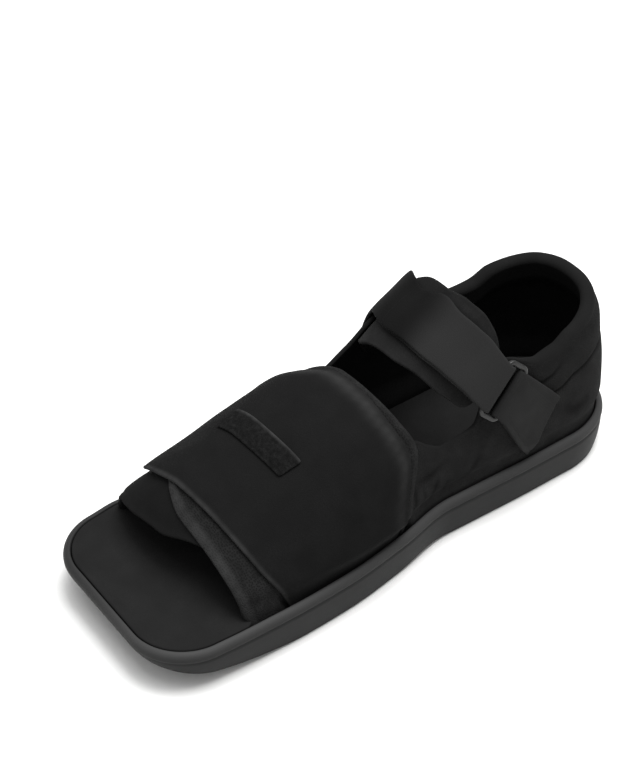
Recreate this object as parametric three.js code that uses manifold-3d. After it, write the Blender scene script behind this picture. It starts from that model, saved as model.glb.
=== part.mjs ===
// Post operative shoe for the left foot: a flat, square-toed rocker shoe with an open toe, a wide
// forefoot closure and a padded ankle strap. Millimetres, +Z up, toe towards -Y, outer side of the
// foot towards +X. The origin is on the floor under the middle of the shoe.

import * as THREE from 'three';
import { mergeVertices } from 'three/addons/utils/BufferGeometryUtils.js';
import Module from 'manifold-3d';

const wasm = await Module();
wasm.setup();

// Sole
const SOLE_LENGTH = 290;
const TOE_WIDTH = 110.4;
const BALL_WIDTH = 112.4;
const WAIST_WIDTH = 94.4;
const HEEL_WIDTH = 81;
const TOE_CORNER = 30;
const TOE_SKEW = 1.6;
const HEEL_CURVE = 40;
const RIM_HEIGHT = 23.5;
const RIM_WIDTH = 4;
const RIM_BEAD = 5;
const SEAT_HEIGHT = 15.5;
const EDGE_DRAFT = 2.4;
const TOE_DRAFT = 1.3;
const PARTING_DEPTH = 1;
const TOE_SPRING = 13;
const SPRING_LENGTH = 80;
const HEEL_BEVEL = 2.5;
const HEEL_BEVEL_LENGTH = 22;
const WAIST_RISE = 1.6;
const WAIST_LENGTH = 52;
const TREAD_DEPTH = 2.6;
const TREAD_GROOVE = 3.2;
const TREAD_PITCH = 14;

// Insole
const INSOLE_THICKNESS = 6.2;
const INSOLE_EDGE = 1.2;
const TOE_GROOVE = 2.4;
const INSOLE_GAP = 0.9;

// Last, measured to the outer face of the upper
const INSTEP_HEIGHT = 118;
const WALL_INSET = 1.8;
const TUCK = 5.6;
const HEEL_TUCK = 3.2;
const TUCK_HEIGHT = 13;
const SEAT_SQUEEZE = 0.36;
const HEEL_LEAN = 8;
const SIDE_LEAN = 5;

// Upper
const UPPER_WALL = 2.2;
const COLLAR_HEIGHT = 87;
const TAB_HEIGHT = 93;
const COLLAR_PAD = 5;
const COLLAR_PAD_HEIGHT = 24;
const BAND_LIFT = 1.9;

// Forefoot closure and its patch
const CLOSURE_THICKNESS = 1.8;
const PATCH_THICKNESS = 1;

// Ankle pad, strap, ring and ring tab
const PAD_THICKNESS = 5;
const STRAP_WIDTH = 29;
const STRAP_THICKNESS = 1.6;
const RING_LENGTH = 31;
const RING_HEIGHT = 13;
const RING_ROD = 2.6;
const RING_DEPTH = 2.4;
const RING_CORNER = 3.5;
const RING_TAB_THICKNESS = 2.4;

const GAP = 0.3;

const HEEL_CENTRE = SOLE_LENGTH / 2 - HEEL_CURVE;
const HEEL_STATION = 1 - HEEL_CURVE / SOLE_LENGTH;
const BASE = SEAT_HEIGHT + GAP;

// Sole outline: stations as shares of the length from the toe, half widths as shares of a width
const OUTLINE = [
  { at: TOE_CORNER / SOLE_LENGTH, width: TOE_WIDTH, outer: 0.506, inner: 0.494 },
  { at: 0.15, width: BALL_WIDTH, outer: 0.5, inner: 0.5 },
  { at: 0.24, width: BALL_WIDTH, outer: 0.498, inner: 0.489 },
  { at: 0.36, width: BALL_WIDTH, outer: 0.48, inner: 0.453 },
  { at: 0.48, width: WAIST_WIDTH, outer: 0.511, inner: 0.489 },
  { at: 0.6, width: HEEL_WIDTH, outer: 0.503, inner: 0.516 },
  { at: 0.74, width: HEEL_WIDTH, outer: 0.502, inner: 0.503 },
  { at: HEEL_STATION, width: HEEL_WIDTH, outer: 0.49, inner: 0.492 },
];

// Sections of the last: crown height as a share of the instep height, the ridge's offset to the
// inner side as a share of the ball width, and how full the outer and inner shoulders are
const SECTIONS = [
  { at: 0.12, crown: 0.33, ridge: 0.12, outer: 1.6, inner: 1.8 },
  { at: 0.165, crown: 0.475, ridge: 0.12, outer: 1.65, inner: 1.8 },
  { at: 0.2, crown: 0.52, ridge: 0.12, outer: 1.7, inner: 1.75 },
  { at: 0.26, crown: 0.565, ridge: 0.12, outer: 1.78, inner: 1.8 },
  { at: 0.33, crown: 0.63, ridge: 0.11, outer: 1.9, inner: 1.95 },
  { at: 0.42, crown: 0.69, ridge: 0.09, outer: 2.3, inner: 2.15 },
  { at: 0.5, crown: 0.72, ridge: 0.06, outer: 2.6, inner: 2.1 },
  { at: 0.56, crown: 0.79, ridge: 0.03, outer: 2.5, inner: 2.6 },
  { at: 0.61, crown: 0.88, ridge: 0.02, outer: 2.2, inner: 2.9 },
  { at: 0.665, crown: 0.985, ridge: 0.01, outer: 2.1, inner: 2.9 },
  { at: 0.72, crown: 1.2, ridge: 0, outer: 2.2, inner: 2.2 },
  { at: 0.79, crown: 1.7, ridge: 0, outer: 2.4, inner: 2.4 },
  { at: HEEL_STATION, crown: 2.2, ridge: 0, outer: 2.4, inner: 2.4 },
];

// Top edge of the quarters along each side and round the heel, heights above the floor as shares of
// the collar height; round runs from the outer side, 0, over the heel to the inner side, 1
const OUTER_TOP = [
  { at: 0.42, top: 0.6 },
  { at: 0.5, top: 0.7 },
  { at: 0.53, top: 0.76 },
  { at: 0.557, top: 0.7 },
  { at: 0.59, top: 0.645 },
  { at: 0.625, top: 0.655 },
  { at: 0.655, top: 0.68 },
  { at: 0.68, top: 0.83 },
  { at: 0.7, top: 0.94 },
  { at: 0.722, top: 1.01 },
  { at: 0.758, top: 0.966 },
  { at: 0.79, top: 0.93 },
  { at: 0.83, top: 0.94 },
  { at: HEEL_STATION, top: 0.99 },
];
const INNER_TOP = [
  { at: 0.42, top: 0.6 },
  { at: 0.5, top: 0.76 },
  { at: 0.56, top: 0.88 },
  { at: 0.62, top: 1.03 },
  { at: 0.68, top: 1.06 },
  { at: 0.74, top: 0.98 },
  { at: 0.79, top: 0.93 },
  { at: 0.83, top: 0.94 },
  { at: HEEL_STATION, top: 0.99 },
];
const HEEL_TOP = [
  { round: 0, top: 0.99 },
  { round: 0.15, top: 1.03 },
  { round: 0.3, top: 1.06 },
  { round: 0.5, top: TAB_HEIGHT / COLLAR_HEIGHT },
  { round: 0.7, top: 1.06 },
  { round: 0.85, top: 1.03 },
  { round: 1, top: 0.99 },
];

// Panels laid over the last: across runs from the outer sole edge, 0, over the ridge, 0.5, to the
// inner sole edge, 1; front and rear are shares of the length from the toe
const VAMP_FLAP = [
  { across: 1, front: 0.16, rear: 0.46 },
  { across: 0.85, front: 0.145, rear: 0.47 },
  { across: 0.6, front: 0.127, rear: 0.478 },
  { across: 0.45, front: 0.13, rear: 0.478 },
  { across: 0.35, front: 0.15, rear: 0.478 },
  { across: 0.25, front: 0.18, rear: 0.478 },
];
const VAMP_BAND = [
  { across: 0, front: 0.175, rear: 0.492 },
  { across: 0.1, front: 0.166, rear: 0.506 },
  { across: 0.2, front: 0.16, rear: 0.53 },
  { across: 0.3, front: 0.157, rear: 0.516 },
  { across: 0.4, front: 0.155, rear: 0.505 },
  { across: 0.5, front: 0.171, rear: 0.498 },
  { across: 0.6, front: 0.195, rear: 0.485 },
  { across: 0.68, front: 0.22, rear: 0.475 },
];
const CLOSURE = [
  { across: 0, front: 0.25, rear: 0.478 },
  { across: 0.1, front: 0.234, rear: 0.486 },
  { across: 0.2, front: 0.209, rear: 0.508 },
  { across: 0.33, front: 0.19, rear: 0.496 },
  { across: 0.48, front: 0.177, rear: 0.488 },
  { across: 0.6, front: 0.172, rear: 0.452 },
  { across: 0.72, front: 0.175, rear: 0.43 },
];
const PATCH = [
  { across: 0.34, front: 0.303, rear: 0.345 },
  { across: 0.45, front: 0.291, rear: 0.333 },
  { across: 0.58, front: 0.284, rear: 0.326 },
];
const PAD = [
  { across: 0.14, front: 0.65, rear: 0.715 },
  { across: 0.21, front: 0.632, rear: 0.722 },
  { across: 0.27, front: 0.604, rear: 0.71 },
  { across: 0.36, front: 0.576, rear: 0.69 },
  { across: 0.48, front: 0.562, rear: 0.673 },
  { across: 0.62, front: 0.566, rear: 0.678 },
  { across: 0.72, front: 0.585, rear: 0.69 },
  { across: 0.84, front: 0.61, rear: 0.7 },
];

// Ankle strap: its middle line, how much of its width runs along the shoe, and its lift
const STRAP = [
  { across: 0.16, centre: 0.699, spread: 0.68, lift: 0.5 },
  { across: 0.23, centre: 0.671, spread: 0.71, lift: 0.3 },
  { across: 0.3, centre: 0.65, spread: 0.75, lift: -1.1 },
  { across: 0.4, centre: 0.631, spread: 0.76, lift: -2 },
  { across: 0.52, centre: 0.623, spread: 0.72, lift: -2 },
  { across: 0.6, centre: 0.63, spread: 0.74, lift: -0.8 },
  { across: 0.68, centre: 0.642, spread: 0.75, lift: 0.6 },
  { across: 0.84, centre: 0.655, spread: 0.95, lift: 0.6 },
  { across: 1, centre: 0.66, spread: 1, lift: 1.2 },
];

// The two ends of the ring's slot on the outer quarter, and how far the returned strap reaches
const RING_SEAT = [
  { at: 0.675, across: 0.149 },
  { at: 0.731, across: 0.151 },
];
const STRAP_END = { front: 0.192, rear: 0.164 };
const STRAP_RETURN = 0.56;
const RING_BLEND = 0.07;
const FOLD_LENGTH = RING_LENGTH - 2 * RING_ROD - 2 * GAP;

// Corners of the ring tab on the outer quarter, heights above the floor as shares of the collar
// height: the first two lie along the ring, the last is its point at the sole
const RING_TAB = [
  { at: 0.678, height: 0.68 },
  { at: 0.764, height: 0.875 },
  { at: 0.824, height: 0.645 },
  { at: 0.769, height: 0.285 },
];

// Value of a column at a station by a monotone cubic through the rows
function follow(rows, key, column, at) {
  const last = rows.length - 1;
  const rising = rows[last][key] > rows[0][key] ? 1 : -1;
  const x = rows.map((row) => row[key] * rising);
  const y = rows.map((row) => row[column]);
  const where = THREE.MathUtils.clamp(at * rising, x[0], x[last]);
  let i = 0;
  while (i < last - 1 && where > x[i + 1]) i += 1;
  const slope = (k) => (y[k + 1] - y[k]) / (x[k + 1] - x[k]);
  const tangent = (k) => {
    if (k === 0) return slope(0);
    if (k === last) return slope(last - 1);
    const before = slope(k - 1);
    const after = slope(k);
    return before * after > 0 ? (2 * before * after) / (before + after) : 0;
  };
  const width = x[i + 1] - x[i];
  const u = (where - x[i]) / width;
  const h01 = u * u * (3 - 2 * u);
  return (
    y[i] * (1 - h01) + y[i + 1] * h01 +
    width * (tangent(i) * u * (1 - u) * (1 - u) - tangent(i + 1) * u * u * (1 - u))
  );
}

const SIZED_OUTLINE = OUTLINE.map((row) => ({
  at: row.at,
  outer: row.width * row.outer,
  inner: row.width * row.inner,
}));

const stationY = (at) => (at - 0.5) * SOLE_LENGTH;

// Plan outline of the sole, anticlockwise from the middle of the toe; the toe's inner corner lies
// further back than its outer corner
function soleOutline() {
  const cornerSteps = 7;
  const sideSteps = 17;
  const heelSteps = 18;
  const toeOuter = SIZED_OUTLINE[0].outer;
  const toeInner = SIZED_OUTLINE[0].inner;
  const points = [];
  const corner = (centreX, from, back) => {
    for (let i = 0; i <= cornerSteps; i += 1) {
      const turn = from + (i / cornerSteps) * (Math.PI / 2);
      points.push(new THREE.Vector2(
        centreX + TOE_CORNER * Math.cos(turn),
        TOE_CORNER - SOLE_LENGTH / 2 + TOE_CORNER * Math.sin(turn) + back,
      ));
    }
  };
  const side = (column, sign, first, last) => {
    for (let i = first; i !== last; i += sign) {
      const at = THREE.MathUtils.lerp(SIZED_OUTLINE[0].at, HEEL_STATION, i / sideSteps);
      points.push(new THREE.Vector2(sign * follow(SIZED_OUTLINE, 'at', column, at), stationY(at)));
    }
  };
  points.push(new THREE.Vector2(0, (TOE_SKEW - SOLE_LENGTH) / 2));
  corner(toeOuter - TOE_CORNER, -Math.PI / 2, 0);
  side('outer', 1, 1, sideSteps + 1);
  for (let i = 1; i < heelSteps; i += 1) points.push(heelOutline((Math.PI * i) / heelSteps));
  side('inner', -1, sideSteps, 0);
  corner(TOE_CORNER - toeInner, Math.PI, TOE_SKEW);
  return points;
}

// Plan point of the heel end at a turn from the outer side, 0, round to the inner side
function heelOutline(turn) {
  const row = SIZED_OUTLINE[SIZED_OUTLINE.length - 1];
  const half = Math.cos(turn) > 0 ? row.outer : row.inner;
  const across = Math.sign(Math.cos(turn)) * Math.abs(Math.cos(turn)) ** 0.9;
  return new THREE.Vector2(half * across, HEEL_CENTRE + HEEL_CURVE * Math.sin(turn));
}

// The outline moved inwards by a distance that may vary along the length
function insetOutline(points, insetAt) {
  return points.map((point, i) => {
    const before = points[(i + points.length - 1) % points.length];
    const after = points[(i + 1) % points.length];
    const along = after.clone().sub(before).normalize();
    const inset = insetAt(point);
    return new THREE.Vector2(point.x - along.y * inset, point.y + along.x * inset);
  });
}

// Closed body through rings of plan points, each at its own height, capped at both ends
function ringBody(rings) {
  const count = rings[0].points.length;
  const positions = [];
  const index = [];
  rings.forEach((ring) => ring.points.forEach((p) => positions.push(p.x, p.y, ring.z)));
  for (let r = 0; r + 1 < rings.length; r += 1) {
    for (let i = 0; i < count; i += 1) {
      const a = r * count + i;
      const b = r * count + ((i + 1) % count);
      index.push(a, b, b + count, a, b + count, a + count);
    }
  }
  const cap = (ring, offset, up) => {
    THREE.ShapeUtils.triangulateShape(ring.points, []).forEach(([a, b, c]) => {
      if (up) index.push(offset + a, offset + b, offset + c);
      else index.push(offset + a, offset + c, offset + b);
    });
  };
  cap(rings[0], 0, false);
  cap(rings[rings.length - 1], (rings.length - 1) * count, true);
  return geometryFrom(positions, index);
}

function geometryFrom(positions, index) {
  const geometry = new THREE.BufferGeometry();
  geometry.setAttribute('position', new THREE.Float32BufferAttribute(positions, 3));
  geometry.setIndex(index);
  return geometry;
}

// Solid of the boolean library from a closed three.js geometry
function solidOf(geometry) {
  const bare = geometry.clone();
  bare.deleteAttribute('normal');
  bare.deleteAttribute('uv');
  const merged = mergeVertices(bare, 1e-4);
  return new wasm.Manifold(new wasm.Mesh({
    numProp: 3,
    vertProperties: new Float32Array(merged.attributes.position.array),
    triVerts: new Uint32Array(merged.index.array),
  }));
}

function geometryOf(solid) {
  const mesh = solid.getMesh();
  return geometryFrom(Array.from(mesh.vertProperties), Array.from(mesh.triVerts));
}

// How far the wall is tucked in at the rim: least round the heel
function tuckAt(at) {
  return THREE.MathUtils.lerp(TUCK, HEEL_TUCK, THREE.MathUtils.smoothstep(at, 0.6, HEEL_STATION));
}

// Rib of the last: a half plane that stands on the seat, from its origin outwards
function sideRib(at, side) {
  const centre = -follow(SECTIONS, 'at', 'ridge', at) * BALL_WIDTH;
  const sign = side === 'outer' ? 1 : -1;
  const edge = sign * follow(SIZED_OUTLINE, 'at', side, at);
  return {
    x: centre,
    y: stationY(at),
    dx: sign,
    dy: 0,
    reach: Math.abs(edge - centre) - WALL_INSET,
    crown: follow(SECTIONS, 'at', 'crown', at) * INSTEP_HEIGHT - BASE,
    full: follow(SECTIONS, 'at', side, at),
    lean: SIDE_LEAN * THREE.MathUtils.smoothstep(at, 0.62, HEEL_STATION),
    tuck: tuckAt(at),
  };
}

function heelRib(turn) {
  const edge = heelOutline(turn);
  const out = new THREE.Vector2(edge.x, edge.y - HEEL_CENTRE);
  const row = SECTIONS[SECTIONS.length - 1];
  return {
    x: 0,
    y: HEEL_CENTRE,
    dx: out.x / out.length(),
    dy: out.y / out.length(),
    reach: out.length() - WALL_INSET,
    crown: row.crown * INSTEP_HEIGHT - BASE,
    full: row.outer,
    lean: THREE.MathUtils.lerp(SIDE_LEAN, HEEL_LEAN, Math.sin(turn)),
    tuck: HEEL_TUCK,
  };
}

// Point on a rib, lifted off the last's outer face; sine and cosine share the way to the crown.
// Inside the rim the wall is tucked in and its layers are pressed together.
function ribPoint(rib, sine, cosine, lift) {
  const rise = (rib.crown + lift) * sine ** (2 / rib.full);
  const low = 1 - THREE.MathUtils.smoothstep(BASE + rise, RIM_HEIGHT, RIM_HEIGHT + TUCK_HEIGHT);
  const spread = lift * (1 - SEAT_SQUEEZE * low);
  const lean = rib.lean * (rise / (TAB_HEIGHT - BASE)) ** 3;
  const out = (rib.reach + spread) * cosine ** (2 / rib.full) - rib.tuck * low * cosine - lean;
  return new THREE.Vector3(rib.x + rib.dx * out, rib.y + rib.dy * out, BASE + rise);
}

// Point of the last at a height above the floor on a rib
function wallPoint(rib, height, lift) {
  const share = THREE.MathUtils.clamp((height - BASE) / (rib.crown + lift), 0, 1);
  const sine = share ** (rib.full / 2);
  return ribPoint(rib, sine, Math.sqrt(1 - sine * sine), lift);
}

// Point of the last at a station and a share of the way across
function lastPoint(at, across, lift) {
  const rib = sideRib(at, across < 0.5 ? 'outer' : 'inner');
  const turn = Math.PI * Math.min(across, 1 - across);
  return ribPoint(rib, Math.sin(turn), Math.max(Math.cos(turn), 0), lift);
}

// Closed sheet between an outer and an inner face, each a function of two shares from 0 to 1
function sheet(outerFace, innerFace, columns, rows) {
  const positions = [];
  const index = [];
  const side = (columns + 1) * (rows + 1);
  [outerFace, innerFace].forEach((face) => {
    for (let j = 0; j <= rows; j += 1) {
      for (let i = 0; i <= columns; i += 1) {
        const p = face(i / columns, j / rows);
        positions.push(p.x, p.y, p.z);
      }
    }
  });
  const at = (i, j, face) => face * side + j * (columns + 1) + i;
  const gap = (a, b) => Math.hypot(...[0, 1, 2].map((k) => positions[3 * a + k] - positions[3 * b + k]));
  const quad = (a, b, c, d) => {
    if (gap(a, c) <= gap(b, d)) index.push(a, b, c, a, c, d);
    else index.push(a, b, d, b, c, d);
  };
  for (let j = 0; j < rows; j += 1) {
    for (let i = 0; i < columns; i += 1) {
      quad(at(i, j, 0), at(i + 1, j, 0), at(i + 1, j + 1, 0), at(i, j + 1, 0));
      quad(at(i, j, 1), at(i, j + 1, 1), at(i + 1, j + 1, 1), at(i + 1, j, 1));
    }
  }
  for (let i = 0; i < columns; i += 1) {
    quad(at(i, 0, 1), at(i + 1, 0, 1), at(i + 1, 0, 0), at(i, 0, 0));
    quad(at(i, rows, 0), at(i + 1, rows, 0), at(i + 1, rows, 1), at(i, rows, 1));
  }
  for (let j = 0; j < rows; j += 1) {
    quad(at(0, j, 0), at(0, j + 1, 0), at(0, j + 1, 1), at(0, j, 1));
    quad(at(columns, j, 1), at(columns, j + 1, 1), at(columns, j + 1, 0), at(columns, j, 0));
  }
  return geometryFrom(positions, index);
}

// Share of the way across with steps that are closer together near the start, by the rim
const crowded = (u) => u * (0.45 + 0.55 * u);

// Panel laid over the last between the front and rear edges of its rows
function panel(rows, under, thickness, columns, steps) {
  const first = rows[0].across;
  const last = rows[rows.length - 1].across;
  const face = (lift) => (u, v) => {
    const across = first + (last - first) * crowded(u);
    const front = follow(rows, 'across', 'front', across);
    const rear = follow(rows, 'across', 'rear', across);
    return lastPoint(front + (rear - front) * v, across, lift);
  };
  const low = face(under);
  const high = face(under + thickness);
  return last > first ? sheet(low, high, columns, steps) : sheet(high, low, columns, steps);
}

const rubber = new THREE.MeshStandardMaterial({ color: 0x3a3b3c, roughness: 0.7, metalness: 0 });
const footbedFoam = new THREE.MeshStandardMaterial({ color: 0x26292a, roughness: 0.9, metalness: 0 });
const meshFabric = new THREE.MeshStandardMaterial({ color: 0x222225, roughness: 0.95, metalness: 0 });
const loopFabric = new THREE.MeshStandardMaterial({ color: 0x1c1e1d, roughness: 0.95, metalness: 0 });
const webbing = new THREE.MeshStandardMaterial({ color: 0x2c2c2e, roughness: 0.85, metalness: 0 });
const plastic = new THREE.MeshStandardMaterial({ color: 0x141416, roughness: 0.3, metalness: 0 });

const shoe = new THREE.Group();

function addPiece(name, geometry, material) {
  const mesh = new THREE.Mesh(geometry, material);
  mesh.name = name;
  shoe.add(mesh);
}

// Sole unit
function buildSole() {
  const outline = soleOutline();
  const ring = (inset, z) => ({ points: insetOutline(outline, () => inset), z });
  const wallRing = (z) => ({ points: insetOutline(outline, (point) => wallInset(point, z)), z });
  const parting = RIM_HEIGHT - RIM_BEAD;
  const body = solidOf(ringBody([
    wallRing(0),
    wallRing(1),
    wallRing(3),
    wallRing(7),
    wallRing(11),
    wallRing(14.5),
    wallRing(parting - 1),
    ring(PARTING_DEPTH, parting - 0.3),
    ring(0.2, parting + 0.7),
    ring(0, RIM_HEIGHT - RIM_BEAD / 2),
    ring(0.5, RIM_HEIGHT - 0.9),
    ring(1.5, RIM_HEIGHT),
    ring(RIM_WIDTH - 0.7, RIM_HEIGHT),
  ]));
  const recess = solidOf(ringBody([
    ring(RIM_WIDTH, SEAT_HEIGHT),
    ring(RIM_WIDTH, RIM_HEIGHT - 0.7),
    ring(RIM_WIDTH - 0.7, RIM_HEIGHT),
    ring(RIM_WIDTH - 0.7, RIM_HEIGHT + 2),
  ]));
  let sole = body.subtract(recess).subtract(solidOf(rockerCutter()));
  treadStations().forEach((at) => {
    sole = sole.subtract(solidOf(treadCutter(at)));
  });
  return geometryOf(sole);
}

// How far the side wall stands in from the outline: it draws in towards its lower edge, and more
// so over the toe spring
function wallInset(point, z) {
  const spring = springHeight(point.y);
  const fall = THREE.MathUtils.clamp((RIM_HEIGHT - z) / (RIM_HEIGHT - spring), 0, 1);
  return (EDGE_DRAFT + (TOE_DRAFT * spring) / TOE_SPRING) * fall ** 3 + 0.3;
}

// Height of the underside over the toe spring
function springHeight(y) {
  const share = Math.max(1 - (y + SOLE_LENGTH / 2) / SPRING_LENGTH, 0);
  return TOE_SPRING * share ** 1.7;
}

// Underside relief: toe spring, a slight waist rise and a bevel at the back of the heel
function rockerCutter() {
  const steps = 9;
  const toe = -SOLE_LENGTH / 2;
  const heel = SOLE_LENGTH / 2;
  const shape = new THREE.Shape();
  shape.moveTo(toe - 2, -6);
  shape.lineTo(toe - 2, springHeight(toe - 2));
  for (let i = 0; i <= steps; i += 1) {
    const y = toe + (SPRING_LENGTH * i) / steps;
    shape.lineTo(y, springHeight(y));
  }
  const waist = (SOLE_LENGTH * 0.54) - SOLE_LENGTH / 2;
  for (let i = 0; i <= steps; i += 1) {
    const share = i / steps;
    shape.lineTo(waist + WAIST_LENGTH * (share - 0.5), WAIST_RISE * Math.sin(Math.PI * share) ** 2);
  }
  shape.lineTo(heel - HEEL_BEVEL_LENGTH, 0);
  shape.lineTo(heel - HEEL_BEVEL_LENGTH / 2, HEEL_BEVEL * 0.3);
  shape.lineTo(heel + 2, HEEL_BEVEL * 1.2);
  shape.lineTo(heel + 2, -6);
  return crosswise(shape);
}

// A shape in the length and height plane, carried across the whole width of the sole
function crosswise(shape) {
  const width = BALL_WIDTH + 20;
  const geometry = new THREE.ExtrudeGeometry(shape, { depth: width, bevelEnabled: false });
  geometry.rotateX(Math.PI / 2);
  geometry.rotateZ(Math.PI / 2);
  geometry.translate(-width / 2, 0, 0);
  return geometry;
}

// Stations of the tread grooves, left out where the sole is off the floor
function treadStations() {
  const first = -SOLE_LENGTH / 2 + SPRING_LENGTH * 0.55;
  const last = SOLE_LENGTH / 2 - HEEL_BEVEL_LENGTH;
  const count = Math.floor((last - first) / TREAD_PITCH);
  return Array.from({ length: count + 1 }, (_, i) => (first + i * TREAD_PITCH) / SOLE_LENGTH + 0.5);
}

function treadCutter(at) {
  const margin = 9;
  const outer = follow(SIZED_OUTLINE, 'at', 'outer', at) - margin;
  const inner = follow(SIZED_OUTLINE, 'at', 'inner', at) - margin;
  const geometry = new THREE.BoxGeometry(outer + inner, TREAD_GROOVE, TREAD_DEPTH * 2);
  geometry.translate((outer - inner) / 2, stationY(at), 0);
  return geometry;
}

// Insole, set back from the rim to leave room for the upper, and wider in front of it
function buildInsole() {
  const outline = soleOutline();
  const wall = WALL_INSET + UPPER_WALL * (1 - SEAT_SQUEEZE) + INSOLE_GAP;
  const toeInset = RIM_WIDTH + TOE_GROOVE;
  const front = stationY(follow(VAMP_FLAP, 'across', 'front', 1) - 0.06);
  const inset = (point) => THREE.MathUtils.lerp(
    toeInset,
    wall + tuckAt(point.y / SOLE_LENGTH + 0.5),
    THREE.MathUtils.smoothstep(point.y, front, front + 12),
  );
  const ring = (more, z) => ({ points: insetOutline(outline, (p) => inset(p) + more), z });
  const low = SEAT_HEIGHT + GAP;
  return ringBody([
    ring(0, low),
    ring(0, low + INSOLE_THICKNESS - INSOLE_EDGE),
    ring(INSOLE_EDGE * 0.3, low + INSOLE_THICKNESS - INSOLE_EDGE * 0.3),
    ring(INSOLE_EDGE, low + INSOLE_THICKNESS),
  ]);
}

// Ribs from the outer side round the heel to the inner side, each with the height of its top edge
function quarterRibs() {
  const sideSteps = 16;
  const heelSteps = 16;
  const ribs = [];
  const side = (name, rows, from, to, start) => {
    for (let i = start; i <= sideSteps; i += 1) {
      const at = from + (to - from) * (i / sideSteps);
      ribs.push({ rib: sideRib(at, name), at, top: COLLAR_HEIGHT * follow(rows, 'at', 'top', at) });
    }
  };
  side('outer', OUTER_TOP, OUTER_TOP[0].at, HEEL_STATION, 0);
  for (let i = 1; i < heelSteps; i += 1) {
    const round = i / heelSteps;
    const top = COLLAR_HEIGHT * follow(HEEL_TOP, 'round', 'top', round);
    ribs.push({ rib: heelRib(Math.PI * round), at: 1, top });
  }
  side('inner', INNER_TOP, HEEL_STATION, INNER_TOP[0].at, 0);
  return ribs;
}

// Height of a row of the quarters: close rows over the tuck by the rim, even rows above it
function quarterLevel(row, last, shoulder, top) {
  const tucked = 5;
  if (row === 0) return BASE;
  if (row === last) return top;
  if (row <= tucked) return RIM_HEIGHT + (TUCK_HEIGHT * (row - 1)) / (tucked - 1);
  const low = RIM_HEIGHT + TUCK_HEIGHT;
  return low + ((shoulder - low) * (row - tucked)) / (last - 1 - tucked);
}

// Quarters and heel counter: one wall round the heel, padded towards the collar
function quarterSheet() {
  const ribs = quarterRibs();
  const steps = 10;
  const face = (inside) => (u, v) => {
    const { rib, at, top } = ribs[Math.round(u * (ribs.length - 1))];
    const pad = COLLAR_PAD * THREE.MathUtils.smoothstep(at, 0.725, 0.82);
    const shoulder = top - 0.3 * (UPPER_WALL + pad);
    const height = quarterLevel(Math.round(v * steps), steps, shoulder, top);
    const low = top - COLLAR_PAD_HEIGHT;
    const wall = UPPER_WALL + pad * THREE.MathUtils.smoothstep(height, low, low + COLLAR_PAD_HEIGHT / 2);
    const rounding = v < 1 ? 0 : 0.3 * wall;
    return wallPoint(rib, height, inside ? rounding - wall : -rounding);
  };
  return sheet(face(false), face(true), ribs.length - 1, steps);
}

// Upper: quarters, inner vamp flap and outer vamp band, joined where they cross
function buildUpper() {
  const quarters = solidOf(quarterSheet());
  const flap = solidOf(panel(VAMP_FLAP, 0.2 - UPPER_WALL, UPPER_WALL, 22, 12));
  const band = solidOf(panel(VAMP_BAND, BAND_LIFT - UPPER_WALL, UPPER_WALL, 22, 12));
  return geometryOf(quarters.add(flap).add(band));
}

const CLOSURE_LIFT = BAND_LIFT + 2 * GAP;

function buildClosure() {
  return panel(CLOSURE, CLOSURE_LIFT, CLOSURE_THICKNESS, 26, 14);
}

function buildPatch() {
  return panel(PATCH, CLOSURE_LIFT + CLOSURE_THICKNESS + GAP, PATCH_THICKNESS, 10, 4);
}

// Ankle pad: fullest along its middle, thin at its edges
function buildPad() {
  const first = PAD[0].across;
  const last = PAD[PAD.length - 1].across;
  const face = (inside) => (u, v) => {
    const across = THREE.MathUtils.lerp(first, last, u);
    const front = follow(PAD, 'across', 'front', across);
    const rear = follow(PAD, 'across', 'rear', across);
    const rim = Math.max(Math.abs(2 * u - 1) ** 6, Math.abs(2 * v - 1) ** 3);
    const thickness = PAD_THICKNESS * (1 - 0.6 * rim);
    const lift = -UPPER_WALL - 3 * GAP - (inside ? thickness : 0);
    return lastPoint(THREE.MathUtils.lerp(front, rear, v), across, lift);
  };
  return sheet(face(true), face(false), 20, 8);
}

// Frame of the ring: along its slot, up towards the strap, and out from the shoe
function ringFrame() {
  const lift = RING_DEPTH / 2 + STRAP_THICKNESS + 4 * GAP;
  const [low, high] = RING_SEAT.map((end) => lastPoint(end.at, end.across, lift));
  const centre = low.clone().add(high).multiplyScalar(0.5);
  const middle = (RING_SEAT[0].at + RING_SEAT[1].at) / 2;
  const across = (RING_SEAT[0].across + RING_SEAT[1].across) / 2;
  const along = high.clone().sub(low).normalize();
  const over = lastPoint(middle, across + 0.03, lift).sub(lastPoint(middle, across - 0.03, lift));
  const out = along.clone().cross(over).normalize();
  const up = out.clone().cross(along);
  return new THREE.Matrix4().makeBasis(along, up, out).setPosition(centre);
}

function roundedOblong(length, height, corner) {
  const shape = new THREE.Shape();
  const x = length / 2;
  const y = height / 2;
  shape.moveTo(corner - x, -y);
  shape.lineTo(x - corner, -y);
  shape.absarc(x - corner, corner - y, corner, -Math.PI / 2, 0, false);
  shape.absarc(x - corner, y - corner, corner, 0, Math.PI / 2, false);
  shape.absarc(corner - x, y - corner, corner, Math.PI / 2, Math.PI, false);
  shape.absarc(corner - x, corner - y, corner, Math.PI, Math.PI * 1.5, false);
  return shape;
}

// Oblong loop of the ring, moulded in plastic
function buildRing() {
  const shape = roundedOblong(RING_LENGTH, RING_HEIGHT, RING_CORNER);
  const hole = roundedOblong(RING_LENGTH - 2 * RING_ROD, RING_HEIGHT - 2 * RING_ROD, GAP);
  shape.holes.push(hole);
  const geometry = new THREE.ExtrudeGeometry(shape, {
    depth: RING_DEPTH, bevelEnabled: false, curveSegments: 4,
  });
  geometry.translate(0, 0, -RING_DEPTH / 2);
  return geometry.applyMatrix4(ringFrame());
}

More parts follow.
